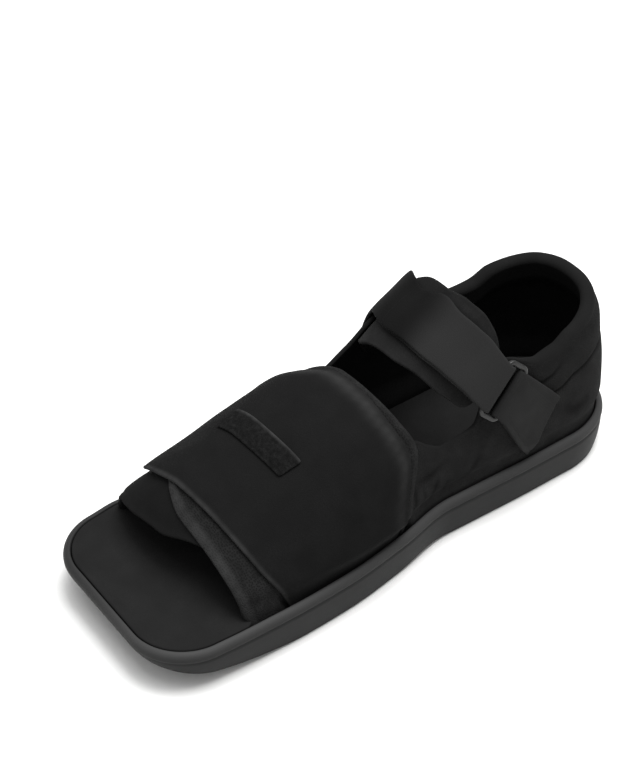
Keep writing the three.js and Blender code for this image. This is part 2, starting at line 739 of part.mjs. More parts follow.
// Fabric folded round one long bar of the ring: side is 1 at the strap and -1 at the tab
function barFold(side, thickness) {
  const inside = { height: RING_ROD + 2 * GAP, depth: RING_DEPTH + 2 * GAP };
  const grow = 2 * thickness;
  const shape = roundedOblong(inside.depth + grow, inside.height + grow, thickness);
  shape.holes.push(roundedOblong(inside.depth, inside.height, GAP));
  const geometry = new THREE.ExtrudeGeometry(shape, {
    depth: FOLD_LENGTH, bevelEnabled: false, curveSegments: 3,
  });
  geometry.translate(0, 0, -FOLD_LENGTH / 2);
  geometry.rotateY(Math.PI / 2);
  geometry.translate(0, (side * (RING_HEIGHT - RING_ROD)) / 2, 0);
  return geometry.applyMatrix4(ringFrame());
}

// Point in the wall of a bar fold: a share along it, its side, and how far it stands out
function foldPoint(share, side, thickness, out) {
  const along = (share - 0.5) * FOLD_LENGTH;
  const over = side * (RING_HEIGHT / 2 + GAP + thickness / 2);
  return new THREE.Vector3(along, over, out).applyMatrix4(ringFrame());
}

// Ankle strap laid over the pad and the quarters; two layers thick up to its returned end
function strapSheet() {
  const doubled = 15;
  const single = 10;
  const step = 0.004;
  const end = 0.95;
  const face = (thickness) => (u, v) => {
    const column = Math.round(u * (doubled + single + 1));
    const start = THREE.MathUtils.lerp(STRAP_END.front, STRAP_END.rear, v);
    const across = column <= doubled
      ? THREE.MathUtils.lerp(start, STRAP_RETURN, column / doubled)
      : THREE.MathUtils.lerp(STRAP_RETURN + step, end, (column - doubled - 1) / single);
    const centre = follow(STRAP, 'across', 'centre', across);
    const half = (follow(STRAP, 'across', 'spread', across) * STRAP_WIDTH) / 2 / SOLE_LENGTH;
    const layers = thickness * (column <= doubled ? 2 : 1);
    const lift = follow(STRAP, 'across', 'lift', across) + layers;
    const laid = lastPoint(centre + half * (2 * v - 1), across, lift);
    const held = foldPoint(v, 1, STRAP_THICKNESS, layers - STRAP_THICKNESS);
    return held.lerp(laid, THREE.MathUtils.smoothstep(across - start, 0, RING_BLEND));
  };
  return sheet(face(0), face(STRAP_THICKNESS), doubled + single + 1, 4);
}

// Ankle strap: over the pad, round the ring's bar and back over itself
function buildStrap() {
  return geometryOf(solidOf(strapSheet()).add(solidOf(barFold(1, STRAP_THICKNESS))));
}

// Ring tab: four-cornered fabric sewn to the outer quarter, folded round the ring's lower bar
function buildRingTab() {
  const [front, rear, corner, point] = RING_TAB;
  const layer = RING_TAB_THICKNESS / 2;
  const face = (lift) => (u, v) => {
    const mix = (key) => THREE.MathUtils.lerp(
      THREE.MathUtils.lerp(front[key], rear[key], u),
      THREE.MathUtils.lerp(point[key], corner[key], u),
      v,
    );
    const laid = wallPoint(sideRib(mix('at'), 'outer'), mix('height') * COLLAR_HEIGHT, 0.5 + lift);
    const held = foldPoint(u, -1, layer, lift - layer);
    return held.lerp(laid, THREE.MathUtils.smoothstep(v, 0, 0.3));
  };
  const patch = solidOf(sheet(face(0), face(RING_TAB_THICKNESS), 8, 10));
  return geometryOf(patch.add(solidOf(barFold(-1, layer))));
}

addPiece('sole', buildSole(), rubber);
addPiece('insole', buildInsole(), footbedFoam);
addPiece('upper', buildUpper(), meshFabric);
addPiece('forefoot_closure', buildClosure(), loopFabric);
addPiece('closure_patch', buildPatch(), loopFabric);
addPiece('ankle_pad', buildPad(), loopFabric);
addPiece('ankle_strap', buildStrap(), webbing);
addPiece('strap_ring', buildRing(), plastic);
addPiece('ring_tab', buildRingTab(), webbing);

export default shoe;
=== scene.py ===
"""Post operative shoe for the left foot: its looks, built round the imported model.

Every piece of the upper is laid over one last, worked out here from the shoe's own sizes. Lengths are
millimetres until a mesh is made. The toe points to -Y, the outer side of the foot to +X, and the
floor is at height 0.
"""

import logging
import math
from dataclasses import dataclass, field
from enum import Enum
from typing import Any, Callable, Sequence

import bmesh
import bpy
import numpy as np
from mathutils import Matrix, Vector

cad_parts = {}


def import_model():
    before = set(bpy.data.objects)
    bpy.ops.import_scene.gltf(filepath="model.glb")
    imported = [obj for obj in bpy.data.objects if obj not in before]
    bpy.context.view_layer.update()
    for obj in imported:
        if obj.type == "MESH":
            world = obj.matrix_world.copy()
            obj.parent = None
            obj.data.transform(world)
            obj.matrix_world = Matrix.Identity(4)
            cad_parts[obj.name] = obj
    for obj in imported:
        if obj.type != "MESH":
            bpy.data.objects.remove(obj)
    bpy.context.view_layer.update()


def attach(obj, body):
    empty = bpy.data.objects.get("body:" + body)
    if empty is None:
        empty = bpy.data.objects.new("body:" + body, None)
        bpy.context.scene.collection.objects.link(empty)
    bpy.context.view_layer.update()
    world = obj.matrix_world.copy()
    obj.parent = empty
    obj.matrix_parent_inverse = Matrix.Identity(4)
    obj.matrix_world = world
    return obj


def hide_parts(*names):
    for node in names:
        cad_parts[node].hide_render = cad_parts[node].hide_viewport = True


log = logging.getLogger("post_operative_shoe")

Array = np.ndarray
MM = 0.001


def blend(start: Any, end: Any, share: Any) -> Any:
    """Straight mix from start, at share 0, to end, at share 1."""
    return start + (end - start) * share


def ease(value: Any, low: float, high: float) -> Any:
    """Smooth step: 0 below low, 1 above high, and 3t^2 - 2t^3 between them."""
    share = np.clip((value - low) / (high - low), 0.0, 1.0)
    return share * share * (3.0 - 2.0 * share)


def bell(distance: Any, width: float) -> Any:
    """Soft ridge of height 1: e to the power of minus (distance / width) squared."""
    return np.exp(-((distance / width) ** 2))


def unit(vectors: Array) -> Array:
    """Vectors along the last axis, each divided by its length."""
    return vectors / np.maximum(np.linalg.norm(vectors, axis=-1, keepdims=True), 1e-9)


@dataclass(frozen=True)
class ShoeSizes:
    """Driving sizes of the shoe in millimetres, as in the part's source."""

    length: float = 290.0
    toe_width: float = 110.4
    ball_width: float = 112.4
    waist_width: float = 94.4
    heel_width: float = 81.0
    toe_corner: float = 30.0
    toe_skew: float = 1.6
    heel_curve: float = 40.0
    rim_height: float = 23.5
    rim_width: float = 4.0
    seat_height: float = 15.5
    edge_draft: float = 2.4
    toe_draft: float = 1.3
    toe_spring: float = 13.0
    spring_length: float = 80.0
    heel_bevel: float = 2.5
    heel_bevel_length: float = 22.0
    waist_rise: float = 1.6
    waist_length: float = 52.0
    tread_depth: float = 2.6
    tread_groove: float = 3.2
    tread_pitch: float = 14.0
    tread_margin: float = 9.0
    insole_thickness: float = 6.2
    toe_groove: float = 2.4
    insole_gap: float = 0.9
    instep_height: float = 118.0
    wall_inset: float = 1.8
    tuck: float = 5.6
    heel_tuck: float = 3.2
    tuck_height: float = 13.0
    seat_squeeze: float = 0.36
    foot_inset: float = 4.2
    foot_fade: float = 8.0
    heel_lean: float = 8.0
    side_lean: float = 5.0
    upper_wall: float = 2.2
    collar_height: float = 87.0
    tab_height: float = 93.0
    collar_pad: float = 5.0
    collar_pad_height: float = 24.0
    band_lift: float = 1.9
    closure_thickness: float = 1.8
    patch_thickness: float = 1.0
    pad_thickness: float = 5.0
    strap_width: float = 29.0
    strap_thickness: float = 1.6
    ring_length: float = 31.0
    ring_height: float = 13.0
    ring_rod: float = 2.6
    ring_depth: float = 2.4
    ring_corner: float = 3.5
    ring_tab_thickness: float = 2.4
    gap: float = 0.3

    @property
    def heel_centre(self) -> float:
        """Y of the middle of the heel's curve."""
        return self.length / 2 - self.heel_curve

    @property
    def heel_station(self) -> float:
        """Share of the length from the toe where the heel's curve starts."""
        return 1 - self.heel_curve / self.length

    @property
    def base(self) -> float:
        """Height at which the upper stands on the seat."""
        return self.seat_height + self.gap

    @property
    def fold_length(self) -> float:
        """Width of fabric that fits inside the ring."""
        return self.ring_length - 2 * self.ring_rod - 2 * self.gap

    @property
    def closure_lift(self) -> float:
        """Distance of the closure's inner face from the last."""
        return self.band_lift + 2 * self.gap


@dataclass(frozen=True)
class Table:
    """Rows of named columns. The first column is the key, and it rises."""

    names: tuple[str, ...]
    rows: tuple[tuple[float, ...], ...]

    @property
    def first(self) -> float:
        """Key of the first row."""
        return self.rows[0][0]

    @property
    def last(self) -> float:
        """Key of the last row."""
        return self.rows[-1][0]

    def read(self, name: str, where: Any) -> Array:
        """Value of a column at the given keys, by a monotone cubic through the rows.

        The slope at an inner row is the harmonic mean of the slopes beside it, or 0 at a turn.

        Args:
            name: the column.
            where: keys, held within the table.

        Returns:
            The values, as an array of the keys' shape.
        """
        data = np.array(self.rows, float)
        x, y = data[:, 0], data[:, self.names.index(name)]
        where = np.clip(np.asarray(where, float), x[0], x[-1])
        slope = np.diff(y) / np.diff(x)
        before, after = slope[:-1], slope[1:]
        total = np.where(before * after > 0, before + after, 1.0)
        inner = np.where(before * after > 0, 2 * before * after / total, 0.0)
        tangent = np.concatenate([slope[:1], inner, slope[-1:]])
        i = np.searchsorted(x[1:-1], where)
        width = x[i + 1] - x[i]
        u = (where - x[i]) / width
        rise = u * u * (3 - 2 * u)
        bend = tangent[i] * u * (1 - u) ** 2 - tangent[i + 1] * u * u * (1 - u)
        return y[i] * (1 - rise) + y[i + 1] * rise + width * bend


# Half widths of the sole as shares of a width, at shares of the length from the toe
OUTLINE = (
    (None, "toe_width", 0.506, 0.494),
    (0.15, "ball_width", 0.5, 0.5),
    (0.24, "ball_width", 0.498, 0.489),
    (0.36, "ball_width", 0.48, 0.453),
    (0.48, "waist_width", 0.511, 0.489),
    (0.6, "heel_width", 0.503, 0.516),
    (0.74, "heel_width", 0.502, 0.503),
    (1.0, "heel_width", 0.49, 0.492),
)

# Sections of the last: crown as a share of the instep height, the ridge's offset to the inner side
# as a share of the ball width, and how full the outer and inner shoulders are
SECTIONS = Table(
    ("at", "crown", "ridge", "outer", "inner"),
    (
        (0.12, 0.33, 0.12, 1.6, 1.8),
        (0.165, 0.475, 0.12, 1.65, 1.8),
        (0.2, 0.52, 0.12, 1.7, 1.75),
        (0.26, 0.565, 0.12, 1.78, 1.8),
        (0.33, 0.63, 0.11, 1.9, 1.95),
        (0.42, 0.69, 0.09, 2.3, 2.15),
        (0.5, 0.72, 0.06, 2.6, 2.1),
        (0.56, 0.79, 0.03, 2.5, 2.6),
        (0.61, 0.88, 0.02, 2.2, 2.9),
        (0.665, 0.985, 0.01, 2.1, 2.9),
        (0.72, 1.2, 0.0, 2.2, 2.2),
        (0.79, 1.7, 0.0, 2.4, 2.4),
        (0.862069, 2.2, 0.0, 2.4, 2.4),
    ),
)

# Top edge of the quarters, as shares of the collar height
OUTER_TOP = Table(
    ("at", "top"),
    (
        (0.42, 0.6),
        (0.5, 0.7),
        (0.53, 0.76),
        (0.557, 0.7),
        (0.59, 0.645),
        (0.625, 0.655),
        (0.655, 0.68),
        (0.68, 0.83),
        (0.7, 0.94),
        (0.722, 1.01),
        (0.758, 0.966),
        (0.79, 0.93),
        (0.83, 0.94),
        (0.862069, 0.99),
    ),
)
INNER_TOP = Table(
    ("at", "top"),
    (
        (0.42, 0.6),
        (0.5, 0.76),
        (0.56, 0.88),
        (0.62, 1.03),
        (0.68, 1.06),
        (0.74, 0.98),
        (0.79, 0.93),
        (0.83, 0.94),
        (0.862069, 0.99),
    ),
)
HEEL_TOP = Table(
    ("round", "top"),
    (
        (0.0, 0.99),
        (0.15, 1.03),
        (0.3, 1.06),
        (0.5, 93 / 87),
        (0.7, 1.06),
        (0.85, 1.03),
        (1.0, 0.99),
    ),
)

# Panels: across runs from the outer sole edge, 0, over the ridge, 0.5, to the inner sole edge, 1;
# front and rear are shares of the length from the toe
PANEL_COLUMNS = ("across", "front", "rear")
VAMP_FLAP = Table(
    PANEL_COLUMNS,
    (
        (0.25, 0.18, 0.478),
        (0.35, 0.15, 0.478),
        (0.45, 0.13, 0.478),
        (0.6, 0.127, 0.478),
        (0.85, 0.145, 0.47),
        (1.0, 0.16, 0.46),
    ),
)
VAMP_BAND = Table(
    PANEL_COLUMNS,
    (
        (0.0, 0.175, 0.492),
        (0.1, 0.166, 0.506),
        (0.2, 0.16, 0.53),
        (0.3, 0.157, 0.516),
        (0.4, 0.155, 0.505),
        (0.5, 0.171, 0.498),
        (0.6, 0.195, 0.485),
        (0.68, 0.22, 0.475),
    ),
)
CLOSURE = Table(
    PANEL_COLUMNS,
    (
        (0.0, 0.25, 0.478),
        (0.1, 0.234, 0.486),
        (0.2, 0.209, 0.508),
        (0.33, 0.19, 0.496),
        (0.48, 0.177, 0.488),
        (0.6, 0.172, 0.452),
        (0.72, 0.175, 0.43),
    ),
)
PATCH = Table(
    PANEL_COLUMNS,
    ((0.34, 0.303, 0.345), (0.45, 0.291, 0.333), (0.58, 0.284, 0.326)),
)
PAD = Table(
    PANEL_COLUMNS,
    (
        (0.178, 0.652, 0.712),
        (0.21, 0.636, 0.722),
        (0.27, 0.61, 0.714),
        (0.36, 0.59, 0.696),
        (0.48, 0.574, 0.681),
        (0.62, 0.572, 0.68),
        (0.72, 0.586, 0.691),
        (0.84, 0.61, 0.7),
    ),
)

# Ankle strap: its middle line, how much of its width runs along the shoe, and its lift
STRAP = Table(
    ("across", "centre", "spread", "lift"),
    (
        (0.16, 0.699, 0.68, 0.5),
        (0.23, 0.671, 0.71, 0.3),
        (0.3, 0.65, 0.75, -1.1),
        (0.4, 0.631, 0.76, -2.0),
        (0.52, 0.623, 0.72, -2.0),
        (0.6, 0.63, 0.74, -0.8),
        (0.68, 0.642, 0.75, 0.6),
        (0.84, 0.655, 0.95, 0.6),
        (1.0, 0.66, 1.0, 1.2),
    ),
)
STRAP_START = {"front": 0.192, "rear": 0.164}
STRAP_RETURN = 0.56
STRAP_INNER_END = 0.935
RING_BLEND = 0.1

# Ends of the ring's slot on the outer quarter, and the tab's corners: station and share of the
# collar height, the first two along the ring and the last at the sole
RING_SEAT = ((0.675, 0.149), (0.731, 0.151))
TAB_CORNERS = {
    "front": (0.678, 0.68),
    "rear": (0.764, 0.875),
    "corner": (0.824, 0.645),
    "point": (0.769, 0.285),
}


@dataclass(frozen=True)
class Ribs:
    """Half planes that stand on the seat and carry the last's section, one for each array entry."""

    origin: Array
    outward: Array
    reach: Array
    crown: Array
    full: Array
    lean: Array
    tuck: Array


class Last:
    """Outer face of the upper: superellipse ribs that stand on the seat."""

    def __init__(self, sizes: ShoeSizes) -> None:
        """Keeps the sizes and works out the sole's half widths.

        Args:
            sizes: the shoe's driving sizes.
        """
        self.sizes = sizes
        rows = []
        for at, width, outer, inner in OUTLINE:
            station = sizes.toe_corner / sizes.length if at is None else min(at, sizes.heel_station)
            size = getattr(sizes, width)
            rows.append((station, size * outer, size * inner))
        self.edges = Table(("at", "outer", "inner"), tuple(rows))

    def y_of(self, at: Any) -> Any:
        """Place along Y of a share of the length from the toe."""
        return (np.asarray(at, float) - 0.5) * self.sizes.length

    def at_of(self, y: Any) -> Any:
        """Share of the length from the toe of a place along Y."""
        return np.asarray(y, float) / self.sizes.length + 0.5

    def tuck_at(self, at: Any) -> Array:
        """How far the wall is tucked in at the rim: least round the heel."""
        share = ease(np.asarray(at, float), 0.6, self.sizes.heel_station)
        return blend(self.sizes.tuck, self.sizes.heel_tuck, share)

    def side_ribs(self, at: Any, outer: Any) -> Ribs:
        """Ribs across the shoe.

        Args:
            at: shares of the length from the toe.
            outer: true where the rib runs to the outer side.

        Returns:
            The ribs.
        """
        sizes = self.sizes
        at, outer = np.broadcast_arrays(np.asarray(at, float), np.asarray(outer, bool))
        centre = -SECTIONS.read("ridge", at) * sizes.ball_width
        sign = np.where(outer, 1.0, -1.0)
        edge = sign * np.where(outer, self.edges.read("outer", at), self.edges.read("inner", at))
        return Ribs(
            origin=np.stack([centre, self.y_of(at)], -1),
            outward=np.stack([sign, np.zeros_like(sign)], -1),
            reach=np.abs(edge - centre) - sizes.wall_inset,
            crown=SECTIONS.read("crown", at) * sizes.instep_height - sizes.base,
            full=np.where(outer, SECTIONS.read("outer", at), SECTIONS.read("inner", at)),
            lean=sizes.side_lean * ease(at, 0.62, sizes.heel_station),
            tuck=self.tuck_at(at),
        )

    def heel_edge(self, turn: Array) -> Array:
        """Plan points of the heel end at turns from the outer side, 0, round to the inner side.

        X is the half width times the cosine to the power 0.9, Y the heel's curve times the sine.
        """
        outer = self.edges.read("outer", 1.0)
        inner = self.edges.read("inner", 1.0)
        half = np.where(np.cos(turn) > 0, outer, inner)
        across = np.sign(np.cos(turn)) * np.abs(np.cos(turn)) ** 0.9
        y = self.sizes.heel_centre + self.sizes.heel_curve * np.sin(turn)
        return np.stack([half * across, y], -1)

    def heel_ribs(self, turn: Array) -> Ribs:
        """Ribs fanned round the middle of the heel, at turns from the outer side."""
        sizes = self.sizes
        out = self.heel_edge(turn) - np.array([0.0, sizes.heel_centre])
        length = np.linalg.norm(out, axis=-1)
        crown = SECTIONS.read("crown", 1.0) * sizes.instep_height - sizes.base
        return Ribs(
            origin=np.broadcast_to([0.0, sizes.heel_centre], out.shape),
            outward=out / length[..., None],
            reach=length - sizes.wall_inset,
            crown=np.full(length.shape, crown),
            full=np.full(length.shape, SECTIONS.read("outer", 1.0)),
            lean=blend(sizes.side_lean, sizes.heel_lean, np.sin(turn)),
            tuck=np.full(length.shape, sizes.heel_tuck),
        )

    def on_rib(self, ribs: Ribs, sine: Array, cosine: Array, lift: Any) -> Array:
        """Points on ribs, lifted off the last's outer face.

        The rise is (crown + lift) * sine^(2/full), the way out (reach + lift) * cosine^(2/full),
        less the tuck at the rim and the lean of the collar, which grows with the rise cubed and
        fades out over the ridge.

        Args:
            ribs: the ribs.
            sine: share of the way up.
            cosine: share of the way out that goes with it.
            lift: distance off the last.

        Returns:
            Points, with x, y and z along the last axis.
        """
        sizes = self.sizes
        rise = (ribs.crown + lift) * sine ** (2 / ribs.full)
        high = ease(sizes.base + rise, sizes.rim_height, sizes.rim_height + sizes.tuck_height)
        low = 1 - high
        spread = lift * (1 - sizes.seat_squeeze * low)
        lean = ribs.lean * (rise / (sizes.tab_height - sizes.base)) ** 3 * ease(cosine, 0, 0.35)
        out = (ribs.reach + spread) * cosine ** (2 / ribs.full) - ribs.tuck * low * cosine - lean
        plan = ribs.origin + ribs.outward * out[..., None]
        return np.concatenate([plan, (sizes.base + rise)[..., None]], -1)

    def at_height(self, ribs: Ribs, height: Any, lift: Any) -> Array:
        """Points of the wall at heights above the floor."""
        share = np.clip((height - self.sizes.base) / (ribs.crown + lift), 0, 1)
        sine = share ** (ribs.full / 2)
        return self.on_rib(ribs, sine, np.sqrt(1 - sine * sine), lift)

    def foot_relief(self, at: Any, height: Any, lift: float = 0.0) -> Array:
        """Extra lift by which a wall's outer face comes out to meet the sole's rim.

        Args:
            at: shares of the length from the toe.
            height: heights above the floor, past which the lift fades out over the rim.
            lift: how far the face lies off the last already.

        Returns:
            The lift in millimetres.
        """
        sizes = self.sizes
        short = (sizes.wall_inset + self.tuck_at(at) - sizes.foot_inset) / (1 - sizes.seat_squeeze)
        low = 1 - ease(height, sizes.rim_height, sizes.rim_height + sizes.foot_fade)
        return np.maximum(short - lift, 0) * low

    def laid(self, at: Any, across: Any, lift: Any) -> Array:
        """Points over the last at stations and shares of the way across."""
        at, across, lift = np.broadcast_arrays(*(np.asarray(a, float) for a in (at, across, lift)))
        turn = np.pi * np.minimum(across, 1 - across)
        ribs = self.side_ribs(at, across < 0.5)
        return self.on_rib(ribs, np.sin(turn), np.maximum(np.cos(turn), 0), lift)


@dataclass
class Surface:
    """A closed mesh in millimetres, with a flat map in metres and a finish number for each face.

    Its tone_and_painted_light_share gives each point's share of the finish's second colour, which on
    most pieces is painted light and shade.
    """

    points: Array
    faces: Array
    flat: Array
    finish: Array
    tone_and_painted_light_share: Array | None = None

    @staticmethod
    def join(parts: Sequence["Surface"]) -> "Surface":
        """One surface of several, which keep their own points."""
        starts = np.cumsum([0] + [len(part.points) for part in parts[:-1]])
        return Surface(
            points=np.concatenate([part.points for part in parts]),
            faces=np.concatenate([part.faces + s for part, s in zip(parts, starts)]),
            flat=np.concatenate([part.flat for part in parts]),
            finish=np.concatenate([part.finish for part in parts]),
            tone_and_painted_light_share=np.concatenate([part.tone_and_painted_light() for part in parts]),
        )

    def tone_and_painted_light(self) -> Array:
        """Share of the second colour at each point, mostly painted light and shade: none where none was
        given.
        """
        return np.zeros(len(self.points)) if self.tone_and_painted_light_share is None else self.tone_and_painted_light_share


def grid_faces(rows: int, columns: int, wrap: bool = False) -> Array:
    """Quads of a grid of points stored row by row.

    Args:
        rows: rows of points.
        columns: points in a row.
        wrap: whether each row closes on itself.

    Returns:
        One row of four point numbers for each quad.
    """
    i = np.arange(rows - 1)[:, None] * columns
    j = np.arange(columns if wrap else columns - 1)[None, :]
    k = (j + 1) % columns
    return np.stack([i + j, i + k, i + columns + k, i + columns + j], -1).reshape(-1, 4)


def edge_loop(rows: int, columns: int) -> Array:
    """Row and column of each point round the edge of a grid, in order."""
    low = [(0, j) for j in range(columns)]
    right = [(i, columns - 1) for i in range(1, rows)]
    high = [(rows - 1, j) for j in range(columns - 2, -1, -1)]
    left = [(i, 0) for i in range(rows - 2, 0, -1)]
    return np.array(low + right + high + left)


def arc_map(points: Array) -> Array:
    """Flat map of a grid of points, in metres: arc lengths along the middle row and column."""
    rows, columns = points.shape[:2]
    along = points[:, columns // 2]
    over = points[rows // 2]
    u = np.concatenate([[0], np.cumsum(np.linalg.norm(np.diff(along, axis=0), axis=1))])
    v = np.concatenate([[0], np.cumsum(np.linalg.norm(np.diff(over, axis=0), axis=1))])
    return np.stack(np.broadcast_arrays(u[:, None], v[None, :]), -1) * MM


def shell(
    outer: Array,
    inner: Array,
    steps: int = 5,
    bulge: float = 1.0,
    binding: int = 0,
    tone_and_painted_light_share: Array | None = None,
) -> Surface:
    """Closed sheet between two grids of points, with a rounded rim.

    Round the edge each rim point is the middle plus the cosine of its turn times half the
    thickness, plus its sine times half the thickness outwards. The flat map runs on over the rim.

    Args:
        outer: rows and columns of points of the outer face.
        inner: the same for the inner face.
        steps: strips round the rim.
        bulge: how far the rim stands out, in half thicknesses.
        binding: finish number of the rim.
        tone_and_painted_light_share: share of the second colour at each place of the grid, mostly
            painted light and shade.

    Returns:
        The sheet: finish 0 on the outer face, 1 on the inner face.
    """
    rows, columns = outer.shape[:2]
    loop = edge_loop(rows, columns)
    i, j = loop[:, 0], loop[:, 1]
    inward_i = np.clip(i, 1, rows - 2)
    inward_j = np.clip(j, 1, columns - 2)
    half = (outer[i, j] - inner[i, j]) / 2
    middle = (outer[i, j] + inner[i, j]) / 2
    away = middle - (outer[inward_i, inward_j] + inner[inward_i, inward_j]) / 2
    tangent = unit(np.roll(middle, -1, 0) - np.roll(middle, 1, 0))
    corner = ((i == 0) | (i == rows - 1)) & ((j == 0) | (j == columns - 1))
    square = away - (away * tangent).sum(-1, keepdims=True) * tangent
    away = np.where(corner[:, None], away, square)
    across = unit(half)
    away = unit(away - (away * across).sum(-1, keepdims=True) * across)
    radius = np.linalg.norm(half, axis=-1, keepdims=True)
    turns = np.pi * np.arange(1, steps) / steps
    rim = [
        middle + half * math.cos(turn) + away * radius * bulge * math.sin(turn) for turn in turns
    ]
    flat = arc_map(outer)
    drift = unit(flat[i, j] - flat[inward_i, inward_j]) * radius * MM
    rim_flat = [flat[i, j] + drift * turn for turn in turns]
    count = rows * columns
    numbers = i * columns + j
    around = len(loop)
    strips = [numbers] + [2 * count + k * around + np.arange(around) for k in range(steps - 1)]
    strips.append(count + numbers)
    strips_grid = np.stack(strips)
    side = grid_faces(steps + 1, around, wrap=True)
    top = grid_faces(rows, columns)
    faces = np.concatenate([top, count + top[:, ::-1], strips_grid.reshape(-1)[side]])
    points = np.concatenate([outer.reshape(-1, 3), inner.reshape(-1, 3), *rim])
    return Surface(
        points=points,
        faces=faces,
        flat=np.concatenate([flat.reshape(-1, 2), flat.reshape(-1, 2), *rim_flat]),
        finish=np.concatenate(
            [np.zeros(len(top)), np.ones(len(top)), np.full(len(side), binding)]
        ),
        tone_and_painted_light_share=None if tone_and_painted_light_share is None else np.concatenate(
            [tone_and_painted_light_share.ravel(), tone_and_painted_light_share.ravel(), np.tile(tone_and_painted_light_share[i, j], steps - 1)]
        ),
    )


def stitches(
    line: Array, out: Array, pitch: float = 3.4, length: float = 2.3, radius: float = 0.26
) -> Surface:
    """Row of thread stitches along a line: closed capsules, half sunk in the cloth.

    A stitch's radius is the full one times the square root of 1 minus the fourth power of the
    share of the way from its middle to its end.

    Args:
        line: points along the seam.
        out: unit direction out of the cloth at each point.
        pitch: distance from one stitch to the next.
        length: length of a stitch.
        radius: half the thread's thickness.

    Returns:
        The stitches as one surface.
    """
    run = np.concatenate([[0], np.cumsum(np.linalg.norm(np.diff(line, axis=0), axis=1))])
    middles = np.arange(pitch / 2, run[-1], pitch)
    reach = np.array([-1.0, -0.8, 0.0, 0.8, 1.0])
    places = middles[:, None] + reach * length / 2
    centre = np.stack([np.interp(places, run, line[:, axis]) for axis in range(3)], -1)
    away = unit(np.stack([np.interp(places, run, out[:, axis]) for axis in range(3)], -1))
    side = unit(np.cross(away, centre[:, -1:] - centre[:, :1]))
    turns = np.linspace(0, 2 * np.pi, 6, endpoint=False)
    wide = (radius * np.sqrt(1 - reach**4))[None, :, None, None]
    ring = side[:, :, None] * np.cos(turns)[:, None] + away[:, :, None] * np.sin(turns)[:, None]
    points = centre[:, :, None] + wide * ring
    step = len(reach) * len(turns)
    faces = grid_faces(len(reach), len(turns), wrap=True)
    faces = (faces[None] + step * np.arange(len(middles))[:, None, None]).reshape(-1, 4)
    flat = np.stack([np.broadcast_to(places[..., None], points.shape[:3])] * 2, -1) * MM
    return Surface(points.reshape(-1, 3), faces, flat.reshape(-1, 2), np.zeros(len(faces)))


def sheet_normals(points: Array) -> Array:
    """Unit normals of a grid of points, from its central differences."""
    along = np.gradient(points, axis=0)
    over = np.gradient(points, axis=1)
    return unit(np.cross(along, over))


@dataclass(frozen=True)
class Crease:
    """A soft trough along a given line, or a ridge where its depth is negative.

    The depth falls off as e^-(distance/width)^2 beside the line and fades out at its ends.
    """

    line: tuple[tuple[float, float], ...]
    width: float
    depth: float

    def relief(self, place: Array) -> Array:
        """Height that the crease adds at places on the panel's flat map, in millimetres."""
        best = np.full(place.shape[:-1], np.inf)
        fade = np.zeros(place.shape[:-1])
        knots = np.array(self.line, float)
        spans = np.linalg.norm(np.diff(knots, axis=0), axis=1)
        starts = np.concatenate([[0], np.cumsum(spans)])
        for k, span in enumerate(spans):
            step = (knots[k + 1] - knots[k]) / span
            run = np.clip((place - knots[k]) @ step, 0, span)
            gap = np.linalg.norm(place - knots[k] - run[..., None] * step, axis=-1)
            share = (starts[k] + run) / starts[-1]
            nearer = gap < best
            best = np.where(nearer, gap, best)
            fade = np.where(nearer, np.sqrt(np.sin(np.pi * np.clip(share, 0.02, 0.98))), fade)
        return -self.depth * bell(best, self.width) * fade


# Outer quarter: distance along it from its front edge and height above the floor
QUARTER_CREASES = (
    Crease(((101.5, 75.0), (104.5, 68.0), (110.0, 62.6), (117.0, 60.0), (124.0, 59.4)), 1.3, 1.0),
    Crease(((110.0, 70.0), (117.0, 67.5), (124.0, 69.0), (130.0, 73.0)), 1.2, 0.6),
    Crease(((118.8, 54.0), (113.6, 41.0), (106.0, 27.0)), 0.9, 0.7),
    Crease(((106.0, 75.0), (112.0, 71.5)), 1.4, 0.5),
    Crease(((27.0, 30.0), (29.5, 38.0), (29.0, 45.0)), 1.5, 0.6),
    Crease(((35.0, 28.0), (36.5, 36.0), (35.0, 43.0)), 1.3, 0.5),
    Crease(((43.0, 29.0), (44.0, 35.0), (47.0, 41.0)), 1.6, 0.55),
    Crease(((53.0, 28.0), (53.5, 37.0)), 1.4, 0.4),
    Crease(((31.0, 47.0), (40.0, 45.5), (52.0, 46.5)), 2.2, 0.45),
    Crease(((62.0, 30.0), (68.0, 33.0), (73.0, 41.0)), 2.0, 0.4),
    Crease(((131.0, 44.0), (140.0, 41.0), (152.0, 43.0)), 3.5, 0.5),
    Crease(((112.0, 50.0), (124.0, 47.0)), 2.6, 0.4),
)


def relief_of(creases: Sequence[Crease], place: Array) -> Array:
    """Sum of the relief of several creases."""
    total = np.zeros(place.shape[:-1])
    for crease in creases:
        total = total + crease.relief(place)
    return total


def soft_waves(place: Array, length: float, height: float) -> Array:
    """Slow unevenness of hand-laid cloth: three crossed sine waves of different lengths."""
    x, y = place[..., 0] / length, place[..., 1] / length
    waves = np.sin(2.1 * x + 1.3 * y + 0.4) + np.sin(3.7 * y - 1.1 * x + 1.9)
    return height * (waves + 0.6 * np.sin(5.3 * x + 4.1 * y + 2.7)) / 2.6


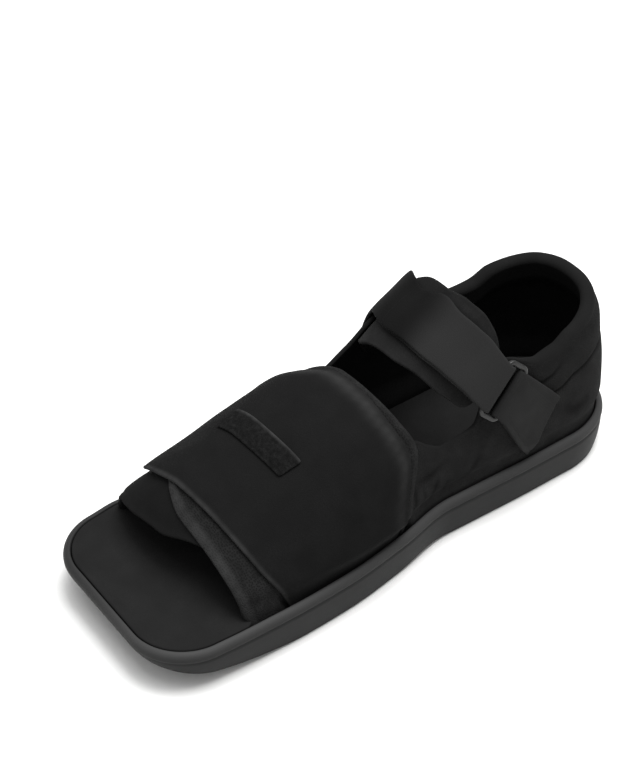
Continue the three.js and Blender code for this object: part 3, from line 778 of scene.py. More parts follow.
def make_object(name: str, surface: Surface, merge: float = 0.0, sharp: float = 0.0) -> bpy.types.Object:
    """Blender object of a surface, in metres at the origin, faces outwards.

    Args:
        name: the object's name.
        surface: the mesh in millimetres.
        merge: distance in millimetres within which points become one.
        sharp: angle in degrees past which an edge is shaded sharp, or 0 for none.

    Returns:
        The object, linked to the scene.
    """
    mesh = bpy.data.meshes.new(name)
    mesh.from_pydata((surface.points * MM).tolist(), [], surface.faces.astype(int).tolist())
    loops = np.zeros(len(mesh.loops), np.int32)
    mesh.loops.foreach_get("vertex_index", loops)
    layer = mesh.uv_layers.new(name="cloth")
    layer.data.foreach_set("uv", surface.flat[loops].astype(np.float32).ravel())
    mesh.polygons.foreach_set("material_index", surface.finish.astype(np.int32))
    tone_and_painted_light_share = mesh.attributes.new("tone_and_painted_light_share", "FLOAT", "POINT")
    tone_and_painted_light_share.data.foreach_set("value", surface.tone_and_painted_light().astype(np.float32))
    work = bmesh.new()
    work.from_mesh(mesh)
    if merge:
        bmesh.ops.remove_doubles(work, verts=work.verts, dist=merge * MM)
    bmesh.ops.recalc_face_normals(work, faces=work.faces)
    work.to_mesh(mesh)
    work.free()
    mesh.polygons.foreach_set("use_smooth", np.ones(len(mesh.polygons), bool))
    if sharp:
        mesh.set_sharp_from_angle(angle=math.radians(sharp))
    mesh.update()
    made = bpy.data.objects.new(name, mesh)
    bpy.context.scene.collection.objects.link(made)
    return made


def linear(colour: str) -> tuple[float, float, float, float]:
    """Linear colour of an sRGB hex value."""
    shares = [int(colour[k : k + 2], 16) / 255 for k in (0, 2, 4)]
    values = [s / 12.92 if s <= 0.04045 else ((s + 0.055) / 1.055) ** 2.4 for s in shares]
    return values[0], values[1], values[2], 1.0


def add_node(tree: Any, kind: str, inputs: dict[Any, Any] | None = None, **settings: Any) -> Any:
    """Adds a node with its settings, values and links.

    Args:
        tree: the node tree.
        kind: the node's type.
        inputs: by socket name or number, a value or another node's output.
        settings: the node's own properties.

    Returns:
        The node.
    """
    made = tree.nodes.new(kind)
    for name, value in settings.items():
        setattr(made, name, value)
    for name, value in (inputs or {}).items():
        if isinstance(value, bpy.types.NodeSocket):
            tree.links.new(value, made.inputs[name])
        else:
            made.inputs[name].default_value = value
    return made


@dataclass(frozen=True)
class Finish:
    """What a surface is made of: its colours, its gloss and the size of its grain."""

    name: str
    colour: str
    shade: str
    roughness: float
    grain: float
    depth: float
    mottle: float = 9.0
    sheen: float = 0.0
    gloss: float = 0.5
    tone_and_painted_light: str = ""

    def material(self) -> bpy.types.Material:
        """The finish as a material."""
        made = bpy.data.materials.new(self.name)
        made.use_nodes = True
        tree = made.node_tree
        tree.nodes.clear()
        height, share = self.pattern(tree)
        colour = add_node(
            tree,
            "ShaderNodeMix",
            {0: share, 6: linear(self.shade), 7: linear(self.colour)},
            data_type="RGBA",
        )
        # The second colour, mixed in by a point attribute, is painted light and shade on most pieces: a
        # highlight on the sole's bead, light on the closure, shade on the strap and in the quarter's
        # creases
        if self.tone_and_painted_light:
            tone_and_painted_light_share = add_node(tree, "ShaderNodeAttribute", attribute_name="tone_and_painted_light_share")
            layers = {0: tone_and_painted_light_share.outputs["Fac"], 6: colour.outputs[2], 7: linear(self.tone_and_painted_light)}
            colour = add_node(tree, "ShaderNodeMix", layers, data_type="RGBA")
        bump = add_node(
            tree,
            "ShaderNodeBump",
            {"Height": height, "Strength": 1.0, "Distance": self.depth * MM},
        )
        shader = add_node(
            tree,
            "ShaderNodeBsdfPrincipled",
            {
                "Base Color": colour.outputs[2],
                "Roughness": self.roughness,
                "Specular IOR Level": self.gloss,
                "Sheen Weight": self.sheen,
                "Sheen Roughness": 0.5,
                "Normal": bump.outputs["Normal"],
            },
        )
        add_node(tree, "ShaderNodeOutputMaterial", {"Surface": shader.outputs["BSDF"]})
        return made

    def noise(self, tree: Any, size: float, detail: float, low: float, high: float) -> Any:
        """Noise of a size in millimetres on object coordinates, stretched from low to high."""
        place = add_node(tree, "ShaderNodeTexCoord")
        cloud = add_node(
            tree,
            "ShaderNodeTexNoise",
            {"Vector": place.outputs["Object"], "Scale": 1 / (size * MM), "Detail": detail},
        )
        spread = add_node(
            tree,
            "ShaderNodeMapRange",
            {"Value": cloud.outputs["Fac"], "From Min": low, "From Max": high},
        )
        return spread.outputs["Result"]

    def pattern(self, tree: Any) -> tuple[Any, Any]:
        """Height of the bump and share of the lighter colour.

        Args:
            tree: the node tree.

        Returns:
            The two sockets.
        """
        grain = self.noise(tree, self.grain, 4.0, 0.25, 0.75)
        mottle = self.noise(tree, self.mottle, 3.0, 0.3, 0.7)
        share = add_node(tree, "ShaderNodeMath", {0: grain, 1: mottle}, operation="MULTIPLY")
        return grain, share.outputs[0]


@dataclass(frozen=True)
class Pile(Finish):
    """Brushed loop fabric: short matted fibres with soft, uneven patches."""

    def pattern(self, tree: Any) -> tuple[Any, Any]:
        """Fibres stand up in small tufts, and patches of them lie flatter."""
        fibre = self.noise(tree, self.grain, 6.0, 0.3, 0.7)
        tuft = self.noise(tree, self.grain * 3.2, 2.0, 0.3, 0.7)
        mottle = self.noise(tree, self.mottle, 3.0, 0.35, 0.65)
        height = add_node(
            tree, "ShaderNodeMath", {0: tuft, 1: 0.6, 2: fibre}, operation="MULTIPLY_ADD"
        )
        blend_share = add_node(
            tree, "ShaderNodeMath", {0: mottle, 1: fibre}, operation="MULTIPLY"
        )
        return height.outputs[0], blend_share.outputs[0]


@dataclass(frozen=True)
class Knit(Finish):
    """Spacer mesh: rows of small round eyelets in a knitted face."""

    def pattern(self, tree: Any) -> tuple[Any, Any]:
        """Eyelets on a honeycomb of the grain's size, on the cloth's own map."""
        place = add_node(tree, "ShaderNodeTexCoord")
        scale = 1 / (self.grain * MM)
        turned = add_node(
            tree,
            "ShaderNodeMapping",
            {"Vector": place.outputs["UV"], "Scale": (scale, scale * 1.15, scale)},
        )
        cells = add_node(
            tree,
            "ShaderNodeTexVoronoi",
            {"Vector": turned.outputs["Vector"], "Scale": 1.0, "Randomness": 0.7},
            voronoi_dimensions="2D",
        )
        rim = add_node(
            tree,
            "ShaderNodeMapRange",
            {"Value": cells.outputs["Distance"], "From Min": 0.12, "From Max": 0.5},
            interpolation_type="SMOOTHSTEP",
        )
        mottle = self.noise(tree, self.mottle, 3.0, 0.25, 0.75)
        share = add_node(
            tree,
            "ShaderNodeMath",
            {0: mottle, 1: rim.outputs["Result"]},
            operation="MULTIPLY",
        )
        return rim.outputs["Result"], share.outputs[0]


@dataclass(frozen=True)
class Weave(Finish):
    """Woven webbing: plain weave of yarns that cross, on the cloth's own map."""

    def pattern(self, tree: Any) -> tuple[Any, Any]:
        """Two crossed rows of waves, one yarn apart."""
        place = add_node(tree, "ShaderNodeTexCoord")
        scale = math.pi / (10 * self.grain * MM)
        rows = []
        for direction in ("X", "Y"):
            wave = add_node(
                tree,
                "ShaderNodeTexWave",
                {
                    "Vector": place.outputs["UV"],
                    "Scale": scale,
                    "Distortion": 0.6,
                    "Detail": 1.0,
                    "Detail Scale": 2.0,
                },
                bands_direction=direction,
            )
            rows.append(wave.outputs["Fac"])
        weave = add_node(tree, "ShaderNodeMath", {0: rows[0], 1: rows[1]}, operation="MAXIMUM")
        mottle = self.noise(tree, self.mottle, 3.0, 0.25, 0.75)
        share = add_node(
            tree, "ShaderNodeMath", {0: mottle, 1: weave.outputs[0]}, operation="MULTIPLY"
        )
        return weave.outputs[0], share.outputs[0]


# Injection-moulded EVA foam: a fine matt skin; its lighter second colour is a painted highlight on the
# bead and rim, strongest on the outer side
SOLE_FOAM = Finish(
    "moulded_eva_foam", "202020", "1b1b1b", 0.6, 0.45, 0.05, 26.0, 0.0, 0.16, "373737"
)
# Die-cut EVA footbed with a bonded felt cover: flat and soft, slightly mottled
FOOTBED_FELT = Finish("felt_covered_eva", "202020", "191919", 0.95, 0.5, 0.08, 14.0, 0.0, 0.12)
# Brushed nylon loop fabric for hook fastening: dark, matt, slightly uneven; its lighter second colour is
# painted light over the top and a painted highlight on the rolled rear edge
CLOSURE_LOOP = Pile(
    "brushed_nylon_loop", "161616", "101010", 0.98, 0.45, 0.1, 13.0, 0.0, 0.07, "2b2b2b"
)
# The same fabric on the patch, pressed and worn into tufts
PATCH_LOOP = Pile(
    "pressed_nylon_loop", "1e1e1e", "0d0d0d", 0.95, 0.6, 0.14, 2.2, 0.0, 0.08, "343434"
)
# Knitted polyester spacer mesh over foam: small, uneven eyelets; its near-black second colour is painted
# shade in its creases and collar seam
QUARTER_MESH = Knit(
    "polyester_spacer_mesh", "252525", "181818", 0.95, 1.2, 0.12, 9.0, 0.0, 0.06, "040404"
)
# The same mesh on the band, with a coarser face and a lighter turned edge
BAND_MESH = Knit(
    "coarse_spacer_mesh", "222222", "151515", 0.95, 1.3, 0.16, 5.0, 0.0, 0.08, "303030"
)
# The same mesh on the flap, brushed smooth
FLAP_TRICOT = Finish("brushed_tricot", "191919", "131313", 0.95, 0.6, 0.06, 11.0, 0.0, 0.06)
# Tricot lining: thin, smooth and dark
LINING = Finish("tricot_lining", "161616", "101010", 0.9, 0.7, 0.08, 9.0, 0.0, 0.08)
# Turned tricot along the collar: smooth
COLLAR_BINDING = Finish("turned_tricot", "1a1a1a", "131313", 0.9, 0.5, 0.05, 12.0, 0.0, 0.1)
# Brushed foam laminate of the ankle pad
PAD_LAMINATE = Finish("brushed_foam_laminate", "232323", "191919", 0.95, 0.6, 0.05, 7.0, 0.0, 0.08)
# Nylon webbing with a napped face; its dark base colour is painted shade where it runs over the ridge,
# and its lighter second colour is painted light on the outer side
STRAP_NYLON = Weave(
    "napped_nylon_webbing", "101010", "0c0c0c", 0.9, 0.9, 0.03, 16.0, 0.0, 0.1, "252525"
)
TAB_NYLON = Weave("nylon_twill_tape", "232323", "1b1b1b", 0.88, 0.9, 0.04, 10.0, 0.0, 0.12)
# Injection-moulded acetal: dark grey and glossy
RING_ACETAL = Finish("moulded_acetal", "242424", "1e1e1e", 0.38, 1.5, 0.01, 12.0, 0.0, 0.36)
# Bonded polyester sewing thread
THREAD = Finish("polyester_thread", "2c2c2c", "222222", 0.75, 0.3, 0.03, 5.0, 0.0, 0.2)


@dataclass
class Workshop:
    """Makes each piece ride, replace its solid and take its finish, and counts them."""

    made: dict[str, bpy.types.Material] = field(default_factory=dict)

    def material(self, finish: Finish) -> bpy.types.Material:
        """The finish's material, made once."""
        if finish.name not in self.made:
            self.made[finish.name] = finish.material()
        return self.made[finish.name]

    def dress(
        self,
        name: str,
        surface: Surface,
        finishes: Sequence[Finish],
        node: str,
        merge: float = 0.0,
        sharp: float = 0.0,
    ) -> bpy.types.Object:
        """Puts a finished piece in the scene.

        Args:
            name: the piece's name.
            surface: its mesh in millimetres.
            finishes: the finish of each of its face numbers.
            node: the solid that it stands for.
            merge: distance in millimetres within which points become one.
            sharp: angle in degrees past which an edge is shaded sharp, or 0.

        Returns:
            The object.
        """
        piece = make_object(name, surface, merge, sharp)
        for finish in finishes:
            piece.data.materials.append(self.material(finish))
        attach(piece, "root")
        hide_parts(node)
        log.info("%s: %d faces", name, len(piece.data.polygons))
        return piece

    def sew(self, name: str, surface: Surface) -> None:
        """Puts a piece made of thread in the scene, over the cloth that it sews."""
        piece = make_object(name, surface, 0.004)
        piece.data.materials.append(self.material(THREAD))
        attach(piece, "root")
        log.info("%s: %d faces", name, len(piece.data.polygons))


@dataclass
class SoleOutline:
    """Plan outline of the sole as a loop of points, with rows that cross it from side to side.

    The loop runs along the toe, up the outer side, round the heel and back down the inner side.
    """

    last: Last
    corner_steps: int = 22
    heel_steps: int = 36
    middle_shares: int = 26
    edge_offsets: tuple[float, ...] = (1.2, 3.0, 6.0, 8.8, 9.2)

    def __post_init__(self) -> None:
        """Works out the sides, the rows and the loop."""
        self.outer, self.inner = self._sides()
        rows = len(self.outer)
        shares = self.shares(np.linalg.norm(self.inner - self.outer, axis=1))
        toe = blend(self.inner[:1], self.outer[:1], shares[0][1:-1, None])
        self.loop = np.concatenate([toe, self.outer, self.inner[-2::-1]])
        first = len(toe)
        self.outer_numbers = first + np.arange(rows)
        self.inner_numbers = np.concatenate(
            [first + 2 * rows - 2 - np.arange(rows - 1), [first + rows - 1]]
        )
        self.toe_numbers = np.arange(first)

    def stations(self) -> Array:
        """Rows along Y between the toe corners and the heel's end, close at each tread groove."""
        sizes = self.last.sizes
        regular = np.linspace(
            sizes.toe_corner - sizes.length / 2 + sizes.toe_skew, sizes.heel_centre, 95
        )
        edges = self.groove_centres()[:, None] + np.array([-1.75, -1.45, 1.45, 1.75])
        turns = np.linspace(0, np.pi / 2, self.heel_steps + 1)
        heel = sizes.heel_centre + sizes.heel_curve * np.sin(turns)
        rows = np.unique(np.round(np.concatenate([regular, edges.ravel(), heel]), 3))
        keep = np.concatenate([[True], np.diff(rows) > 0.02])
        return rows[keep]

    def groove_centres(self) -> Array:
        """Places along Y of the tread grooves."""
        sizes = self.last.sizes
        first = -sizes.length / 2 + sizes.spring_length * 0.55
        last = sizes.length / 2 - sizes.heel_bevel_length
        count = int((last - first) // sizes.tread_pitch)
        return first + sizes.tread_pitch * np.arange(count + 1)

    def _sides(self) -> tuple[Array, Array]:
        """Plan points of the outer and the inner side, row by row from the toe to the heel's end."""
        sizes, last = self.last.sizes, self.last
        turns = np.linspace(-np.pi / 2, 0, self.corner_steps + 1)[:-1]
        corner = sizes.toe_corner
        toe_outer = last.edges.read("outer", 0.0)
        toe_inner = last.edges.read("inner", 0.0)
        toe = corner - sizes.length / 2
        outer_corner = np.stack(
            [toe_outer - corner + corner * np.cos(turns), toe + corner * np.sin(turns)], -1
        )
        inner_corner = np.stack(
            [
                corner - toe_inner - corner * np.cos(turns),
                toe + sizes.toe_skew + corner * np.sin(turns),
            ],
            -1,
        )
        y = self.stations()
        at = last.at_of(y)
        turn = np.arcsin(np.clip((y - sizes.heel_centre) / sizes.heel_curve, 0, 1))
        heel = y > sizes.heel_centre
        outer_x = np.where(heel, last.heel_edge(turn)[:, 0], last.edges.read("outer", at))
        inner_x = np.where(heel, last.heel_edge(np.pi - turn)[:, 0], -last.edges.read("inner", at))
        tip = np.isclose(y, sizes.length / 2, atol=1e-3)
        outer = np.stack([np.where(tip, 0.0, outer_x), y], -1)
        inner = np.stack([np.where(tip, 0.0, inner_x), y], -1)
        return np.concatenate([outer_corner, outer]), np.concatenate([inner_corner, inner])

    def shares(self, widths: Array) -> Array:
        """Shares across each row, from the outer edge to the inner: fixed steps by the edges."""
        offsets = np.concatenate([[0.0], self.edge_offsets])
        scale = np.minimum(1.0, widths / 30.0)
        near = offsets[None, :] * scale[:, None] / np.maximum(widths, 1e-6)[:, None]
        start = near[:, -1:]
        middle = start + (1 - 2 * start) * np.linspace(0, 1, self.middle_shares)[None, 1:-1]
        return np.concatenate([near, middle, 1 - near[:, ::-1]], 1)

    def inset(self, distance: Any) -> Array:
        """The loop moved inwards along its own normals, by a distance that may vary along it."""
        along = unit(np.roll(self.loop, -1, 0) - np.roll(self.loop, 1, 0))
        inward = np.stack([-along[:, 1], along[:, 0]], -1)
        return self.loop + inward * np.broadcast_to(distance, len(self.loop))[:, None]

    def cap(self, ring: Array, height: Callable[[Array, Array], Array]) -> Surface:
        """Grid of points that fills a ring of the loop, row by row.

        Args:
            ring: plan points of the ring and their heights.
            height: gives the heights from plan points and their distance from the nearest side.

        Returns:
            The filled face. Its edge points lie on the ring's.
        """
        outer, inner = ring[self.outer_numbers], ring[self.inner_numbers]
        widths = np.linalg.norm((inner - outer)[:, :2], axis=1)
        shares = self.shares(widths)
        plan = outer[:, None, :2] + (inner - outer)[:, None, :2] * shares[..., None]
        side = np.minimum(shares, 1 - shares) * widths[:, None]
        points = np.concatenate([plan, height(plan, side)[..., None]], -1)
        points[:, 0], points[:, -1] = outer, inner
        points[0, 1:-1] = ring[self.toe_numbers][::-1]
        rows, columns = points.shape[:2]
        faces = grid_faces(rows, columns)
        flat = points[..., :2] * MM
        return Surface(points.reshape(-1, 3), faces, flat.reshape(-1, 2), np.zeros(len(faces)))

    def walls(self, rings: Sequence[Array], painted_highlight_shares: Array) -> Surface:
        """Side faces through rings of points, with the painted highlight share of each ring or of each
        point.
        """
        grid = np.stack(rings)
        faces = grid_faces(grid.shape[0], grid.shape[1], wrap=True)
        along = np.cumsum(np.linalg.norm(np.diff(self.loop, axis=0, prepend=self.loop[:1]), axis=1))
        flat = np.stack(np.broadcast_arrays(along[None, :], grid[..., 2]), -1) * MM
        tone_and_painted_light_share = np.broadcast_to(painted_highlight_shares, grid.shape[:2]).ravel()
        return Surface(
            grid.reshape(-1, 3), faces, flat.reshape(-1, 2), np.zeros(len(faces)), tone_and_painted_light_share
        )


# Rim of the sole from its parting line over the bead to the seat: inset and height above the seat
RIM_PROFILE = Table(
    ("run", "inset", "height"),
    (
        (0, 0.8, 2.3),
        (1, 0.72, 2.7),
        (2, 0.36, 3.2),
        (3, 0.1, 3.9),
        (4, 0.0, 4.8),
        (5, 0.14, 5.8),
        (6, 0.6, 6.75),
        (7, 1.3, 7.45),
        (8, 2.1, 7.88),
        (9, 2.65, 8.0),
        (10, 3.2, 7.9),
        (11, 3.55, 7.45),
        (12, 3.7, 6.2),
        (13, 3.7, 0.0),
    ),
)


@dataclass
class SoleUnit:
    """Moulded sole: side wall with a bead, recess for the footbed, rocker toe and tread."""

    outline: SoleOutline
    wall_rows: int = 16
    rim_rows: int = 40
    edge_round: float = 1.3
    # Painted highlight: the runs of the rim's profile over which the bead and rim turn lighter, and the
    # X over which it grows from the inner side to the outer side
    painted_highlight_runs: tuple[float, float] = (3.0, 7.0)
    painted_highlight_side: tuple[float, float] = (-40.0, 50.0)
    name: str = "sole_unit"

    def underside(self, y: Array) -> Array:
        """Height of the underside: toe spring, waist rise and heel bevel."""
        sizes = self.outline.last.sizes
        toe = np.maximum(1 - (y + sizes.length / 2) / sizes.spring_length, 0)
        waist = np.clip((y - sizes.length * 0.04) / sizes.waist_length + 0.5, 0, 1)
        heel = np.interp(
            y,
            [
                sizes.length / 2 - sizes.heel_bevel_length,
                sizes.length / 2 - sizes.heel_bevel_length / 2,
                sizes.length / 2 + 2,
            ],
            [0.0, sizes.heel_bevel * 0.3, sizes.heel_bevel * 1.2],
        )
        spring = sizes.toe_spring * toe**1.7
        return spring + sizes.waist_rise * np.sin(np.pi * waist) ** 2 + heel

    def wall_ring(self, share: float) -> Array:
        """Ring of the side wall, at a share of the way from its lower edge to the parting line.

        The wall draws in towards its lower edge by the cube of the fall, and more over the toe.
        """
        sizes = self.outline.last.sizes
        loop = self.outline.loop
        low = self.underside(loop[:, 1])
        spring = sizes.toe_spring * np.maximum(
            1 - (loop[:, 1] + sizes.length / 2) / sizes.spring_length, 0
        ) ** 1.7
        top = sizes.seat_height + RIM_PROFILE.read("height", 0) - 0.8
        z = blend(low + self.edge_round, top, share)
        fall = np.clip((sizes.rim_height - z) / (sizes.rim_height - spring), 0, 1)
        inset = (sizes.edge_draft + sizes.toe_draft * spring / sizes.toe_spring) * fall**3 + 0.3
        return np.concatenate([self.outline.inset(inset), z[:, None]], 1)

    def edge_ring(self, turn: float) -> Array:
        """Ring of the rounded lower edge, at a turn from the wall, 0, to the underside."""
        wall = self.wall_ring(0.0)
        inward = unit(self.outline.inset(1.0) - self.outline.loop)
        radius = self.edge_round
        plan = wall[:, :2] + inward * radius * (1 - math.cos(turn))
        return np.concatenate([plan, wall[:, 2:] - radius * math.sin(turn)], 1)

    def rim_ring(self, run: float) -> Array:
        """Ring of the bead and the recess, from the rim's profile."""
        seat = self.outline.last.sizes.seat_height
        inset = RIM_PROFILE.read("inset", run)
        plan = self.outline.inset(float(inset))
        z = np.full((len(plan), 1), seat + float(RIM_PROFILE.read("height", run)))
        return np.concatenate([plan, z], 1)

    def tread(self, plan: Array, side: Array) -> Array:
        """Heights of the underside with its cross grooves, which stop short of the edges."""
        sizes = self.outline.last.sizes
        low = self.underside(plan[..., 1])
        gaps = np.abs(plan[..., 1][..., None] - self.outline.groove_centres())
        groove = 1 - ease(gaps.min(-1), 1.45, 1.75)
        inside = ease(side, 8.8, 9.2)
        return np.maximum(low, sizes.tread_depth * groove * inside)

    def build(self, shop: Workshop) -> None:
        """Makes the sole unit."""
        turns = np.linspace(np.pi / 2, 0, 5)
        rings = [self.edge_ring(float(turn)) for turn in turns]
        rings += [self.wall_ring(float(s)) for s in np.linspace(0, 1, self.wall_rows)[1:]]
        runs = np.linspace(0, RIM_PROFILE.last, self.rim_rows)
        # Painted highlight on the bead and rim: none on the wall, fuller on the outer side than on the
        # inner side
        painted_highlight_shares = np.concatenate([np.zeros(len(rings)), ease(runs, *self.painted_highlight_runs)])[:, None]
        painted_highlight_shares = painted_highlight_shares * blend(0.3, 1.0, ease(self.outline.loop[:, 0], *self.painted_highlight_side))
        rings += [self.rim_ring(run) for run in runs]
        seat = self.outline.last.sizes.seat_height
        floor = self.outline.cap(rings[-1], lambda plan, side: np.full(side.shape, seat))
        under = self.outline.cap(rings[0], self.tread)
        surface = Surface.join([self.outline.walls(rings, painted_highlight_shares), floor, under])
        shop.dress(self.name, surface, [SOLE_FOAM], "sole", 0.004, 50.0)


@dataclass
class Footbed:
    """Foam footbed in the recess, with a rounded edge and a slightly dished, covered top."""

    outline: SoleOutline
    edge_round: float = 0.8
    toe_inset: float = 4.15
    step: tuple[float, float] = (-1.4, 1.4)
    proud: float = 1.4
    dish: float = 0.7
    name: str = "footbed"

    def inset(self) -> Array:
        """Distance from the sole's outline: a groove at the toe, clear of the upper behind it."""
        sizes, last = self.outline.last.sizes, self.outline.last
        x, y = self.outline.loop.T
        wall = sizes.wall_inset + sizes.upper_wall * (1 - sizes.seat_squeeze) + sizes.insole_gap
        front = np.where(x > 0, VAMP_BAND.read("front", 0.0), VAMP_FLAP.read("front", 1.0))
        before = last.y_of(front) - y
        behind = wall + last.tuck_at(last.at_of(y))
        return blend(behind, self.toe_inset, ease(before, *self.step))

    def build(self, shop: Workshop) -> None:
        """Makes the footbed."""
        sizes = self.outline.last.sizes
        low = sizes.base
        top = low + sizes.insole_thickness + self.proud
        inset = self.inset()
        rings = []

        def add(more: float, z: float) -> None:
            plan = self.outline.inset(inset + more)
            rings.append(np.concatenate([plan, np.full((len(plan), 1), z)], 1))

        add(0.4, low)
        add(0.0, low + 0.4)
        add(0.0, low + 2.0)
        for turn in np.linspace(0, np.pi / 2, 7):
            more = self.edge_round * (1 - math.cos(turn))
            add(more, top - self.edge_round * (1 - math.sin(turn)))

        def crown(plan: Array, side: Array) -> Array:
            """Top face: a shallow dish inside a soft bead along the edge."""
            toe = plan[..., 1] + sizes.length / 2 - self.toe_inset
            edge = np.minimum(side, np.maximum(toe, 0))
            dished = top - self.dish * ease(edge, 3.0, 26.0)
            return dished + 0.1 * bell(edge - 1.4, 1.1) - 0.3 * bell(edge - 4.2, 1.3)

        bottom = self.outline.cap(rings[0], lambda plan, side: np.full(side.shape, low))
        wall = self.outline.walls(rings, np.zeros((len(rings), 1)))
        surface = Surface.join([wall, self.outline.cap(rings[-1], crown), bottom])
        piece = shop.dress(
            self.name, surface, [FOOTBED_FELT], "insole", 0.004, 60.0
        )


@dataclass
class QuarterShell:
    """Heel counter and both quarters: one wall round the heel, padded towards the collar."""

    last: Last
    side_columns: int = 110
    heel_columns: int = 96
    rows: int = 110
    outer_cover: float = 0.498
    inner_cover: float = 0.458
    creases: tuple[Crease, ...] = ()
    name: str = "quarter_shell"

    def columns(self) -> tuple[Ribs, Array, Array]:
        """Ribs from the outer side round the heel to the inner side.

        Returns:
            The ribs, each one's station and the height of its top edge.
        """
        sizes, last = self.last.sizes, self.last
        ahead = np.linspace(OUTER_TOP.first, sizes.heel_station, self.side_columns + 1)
        back = np.linspace(0, 1, self.heel_columns + 1)[1:-1]
        outer = last.side_ribs(ahead, True)
        heel = last.heel_ribs(np.pi * back)
        inner = last.side_ribs(ahead[::-1], False)
        ribs = Ribs(
            *(
                np.concatenate([getattr(part, key) for part in (outer, heel, inner)])
                for key in ("origin", "outward", "reach", "crown", "full", "lean", "tuck")
            )
        )
        at = np.concatenate([ahead, np.ones(len(back)), ahead[::-1]])
        top = sizes.collar_height * np.concatenate(
            [
                OUTER_TOP.read("top", ahead),
                HEEL_TOP.read("top", back),
                INNER_TOP.read("top", ahead[::-1]),
            ]
        )
        return ribs, at, top

    def build(self, shop: Workshop) -> None:
        """Makes the wall with its padded, rounded collar."""
        sizes = self.last.sizes
        ribs, at, top = self.columns()
        row = Ribs(
            *(
                getattr(ribs, key)[:, None]
                for key in ("origin", "outward", "reach", "crown", "full", "lean", "tuck")
            )
        )
        pad = sizes.collar_pad * ease(at, 0.725, 0.82)
        crest = 0.46 * (sizes.upper_wall + pad)
        v = np.linspace(0, 1, self.rows + 1)[None, :]
        rise = 1 - (1 - v) ** 1.25
        height = blend(sizes.base, (top - crest)[:, None], rise)
        low = (top - sizes.collar_pad_height)[:, None]
        wall = sizes.upper_wall + pad[:, None] * ease(height - low, 0, sizes.collar_pad_height / 2)
        outer_base = self.last.at_height(row, height, np.zeros_like(height))
        run = np.linalg.norm(np.diff(outer_base[:, self.rows // 2], axis=0), axis=1)
        along = np.concatenate([[0], np.cumsum(run)])
        place = np.stack(np.broadcast_arrays(along[:, None], height), -1)
        relief = relief_of(self.creases, place) + soft_waves(place, 17.0, 0.25)
        relief = relief * ease(height, sizes.rim_height, sizes.rim_height + 14)
        puff = 0.9 * (pad / sizes.collar_pad)[:, None]
        below = (top[:, None] - height) / sizes.collar_pad_height
        relief = relief + puff * (bell(below - 0.42, 0.3) - 0.8 * bell(below - 1.0, 0.07))
        covered_to = np.where(np.arange(len(at)) < len(at) // 2, self.outer_cover, self.inner_cover)
        shown = ease(at - covered_to, 0.0, 0.015)[:, None]
        foot = self.last.foot_relief(at[:, None], height)
        relief = relief + foot * shown - 0.4 * (1 - shown)
        outer = self.last.at_height(row, height, relief)
        inner = self.last.at_height(row, height, -wall)
        # Painted shade in the creases and along the collar seam, where the mesh takes its near-black
        # second colour; the mesh is also a little darker near the collar's top edge
        seam = bell(below - 1.0, 0.045) * (pad / sizes.collar_pad)[:, None]
        shade = 0.2 * (1 - ease(below, 0.9, 1.1)) - 1.1 * relief_of(self.creases, place)
        tone_and_painted_light_share = np.clip(shade + 0.8 * seam, 0, 1)
        surface = shell(outer, inner, 10, 0.92, 2, tone_and_painted_light_share)
        finishes = [QUARTER_MESH, LINING, COLLAR_BINDING]
        shop.dress(self.name, surface, finishes, "upper")


class Edge(Enum):
    """Cut edge of a panel that a tone or a seam runs along."""

    FRONT = "front"
    REAR = "rear"


@dataclass(frozen=True)
class EdgeTone:
    """Lighter stripe along an edge: how far in it lies, how wide it is and how light."""

    edge: Edge
    distance: float
    width: float
    share: float


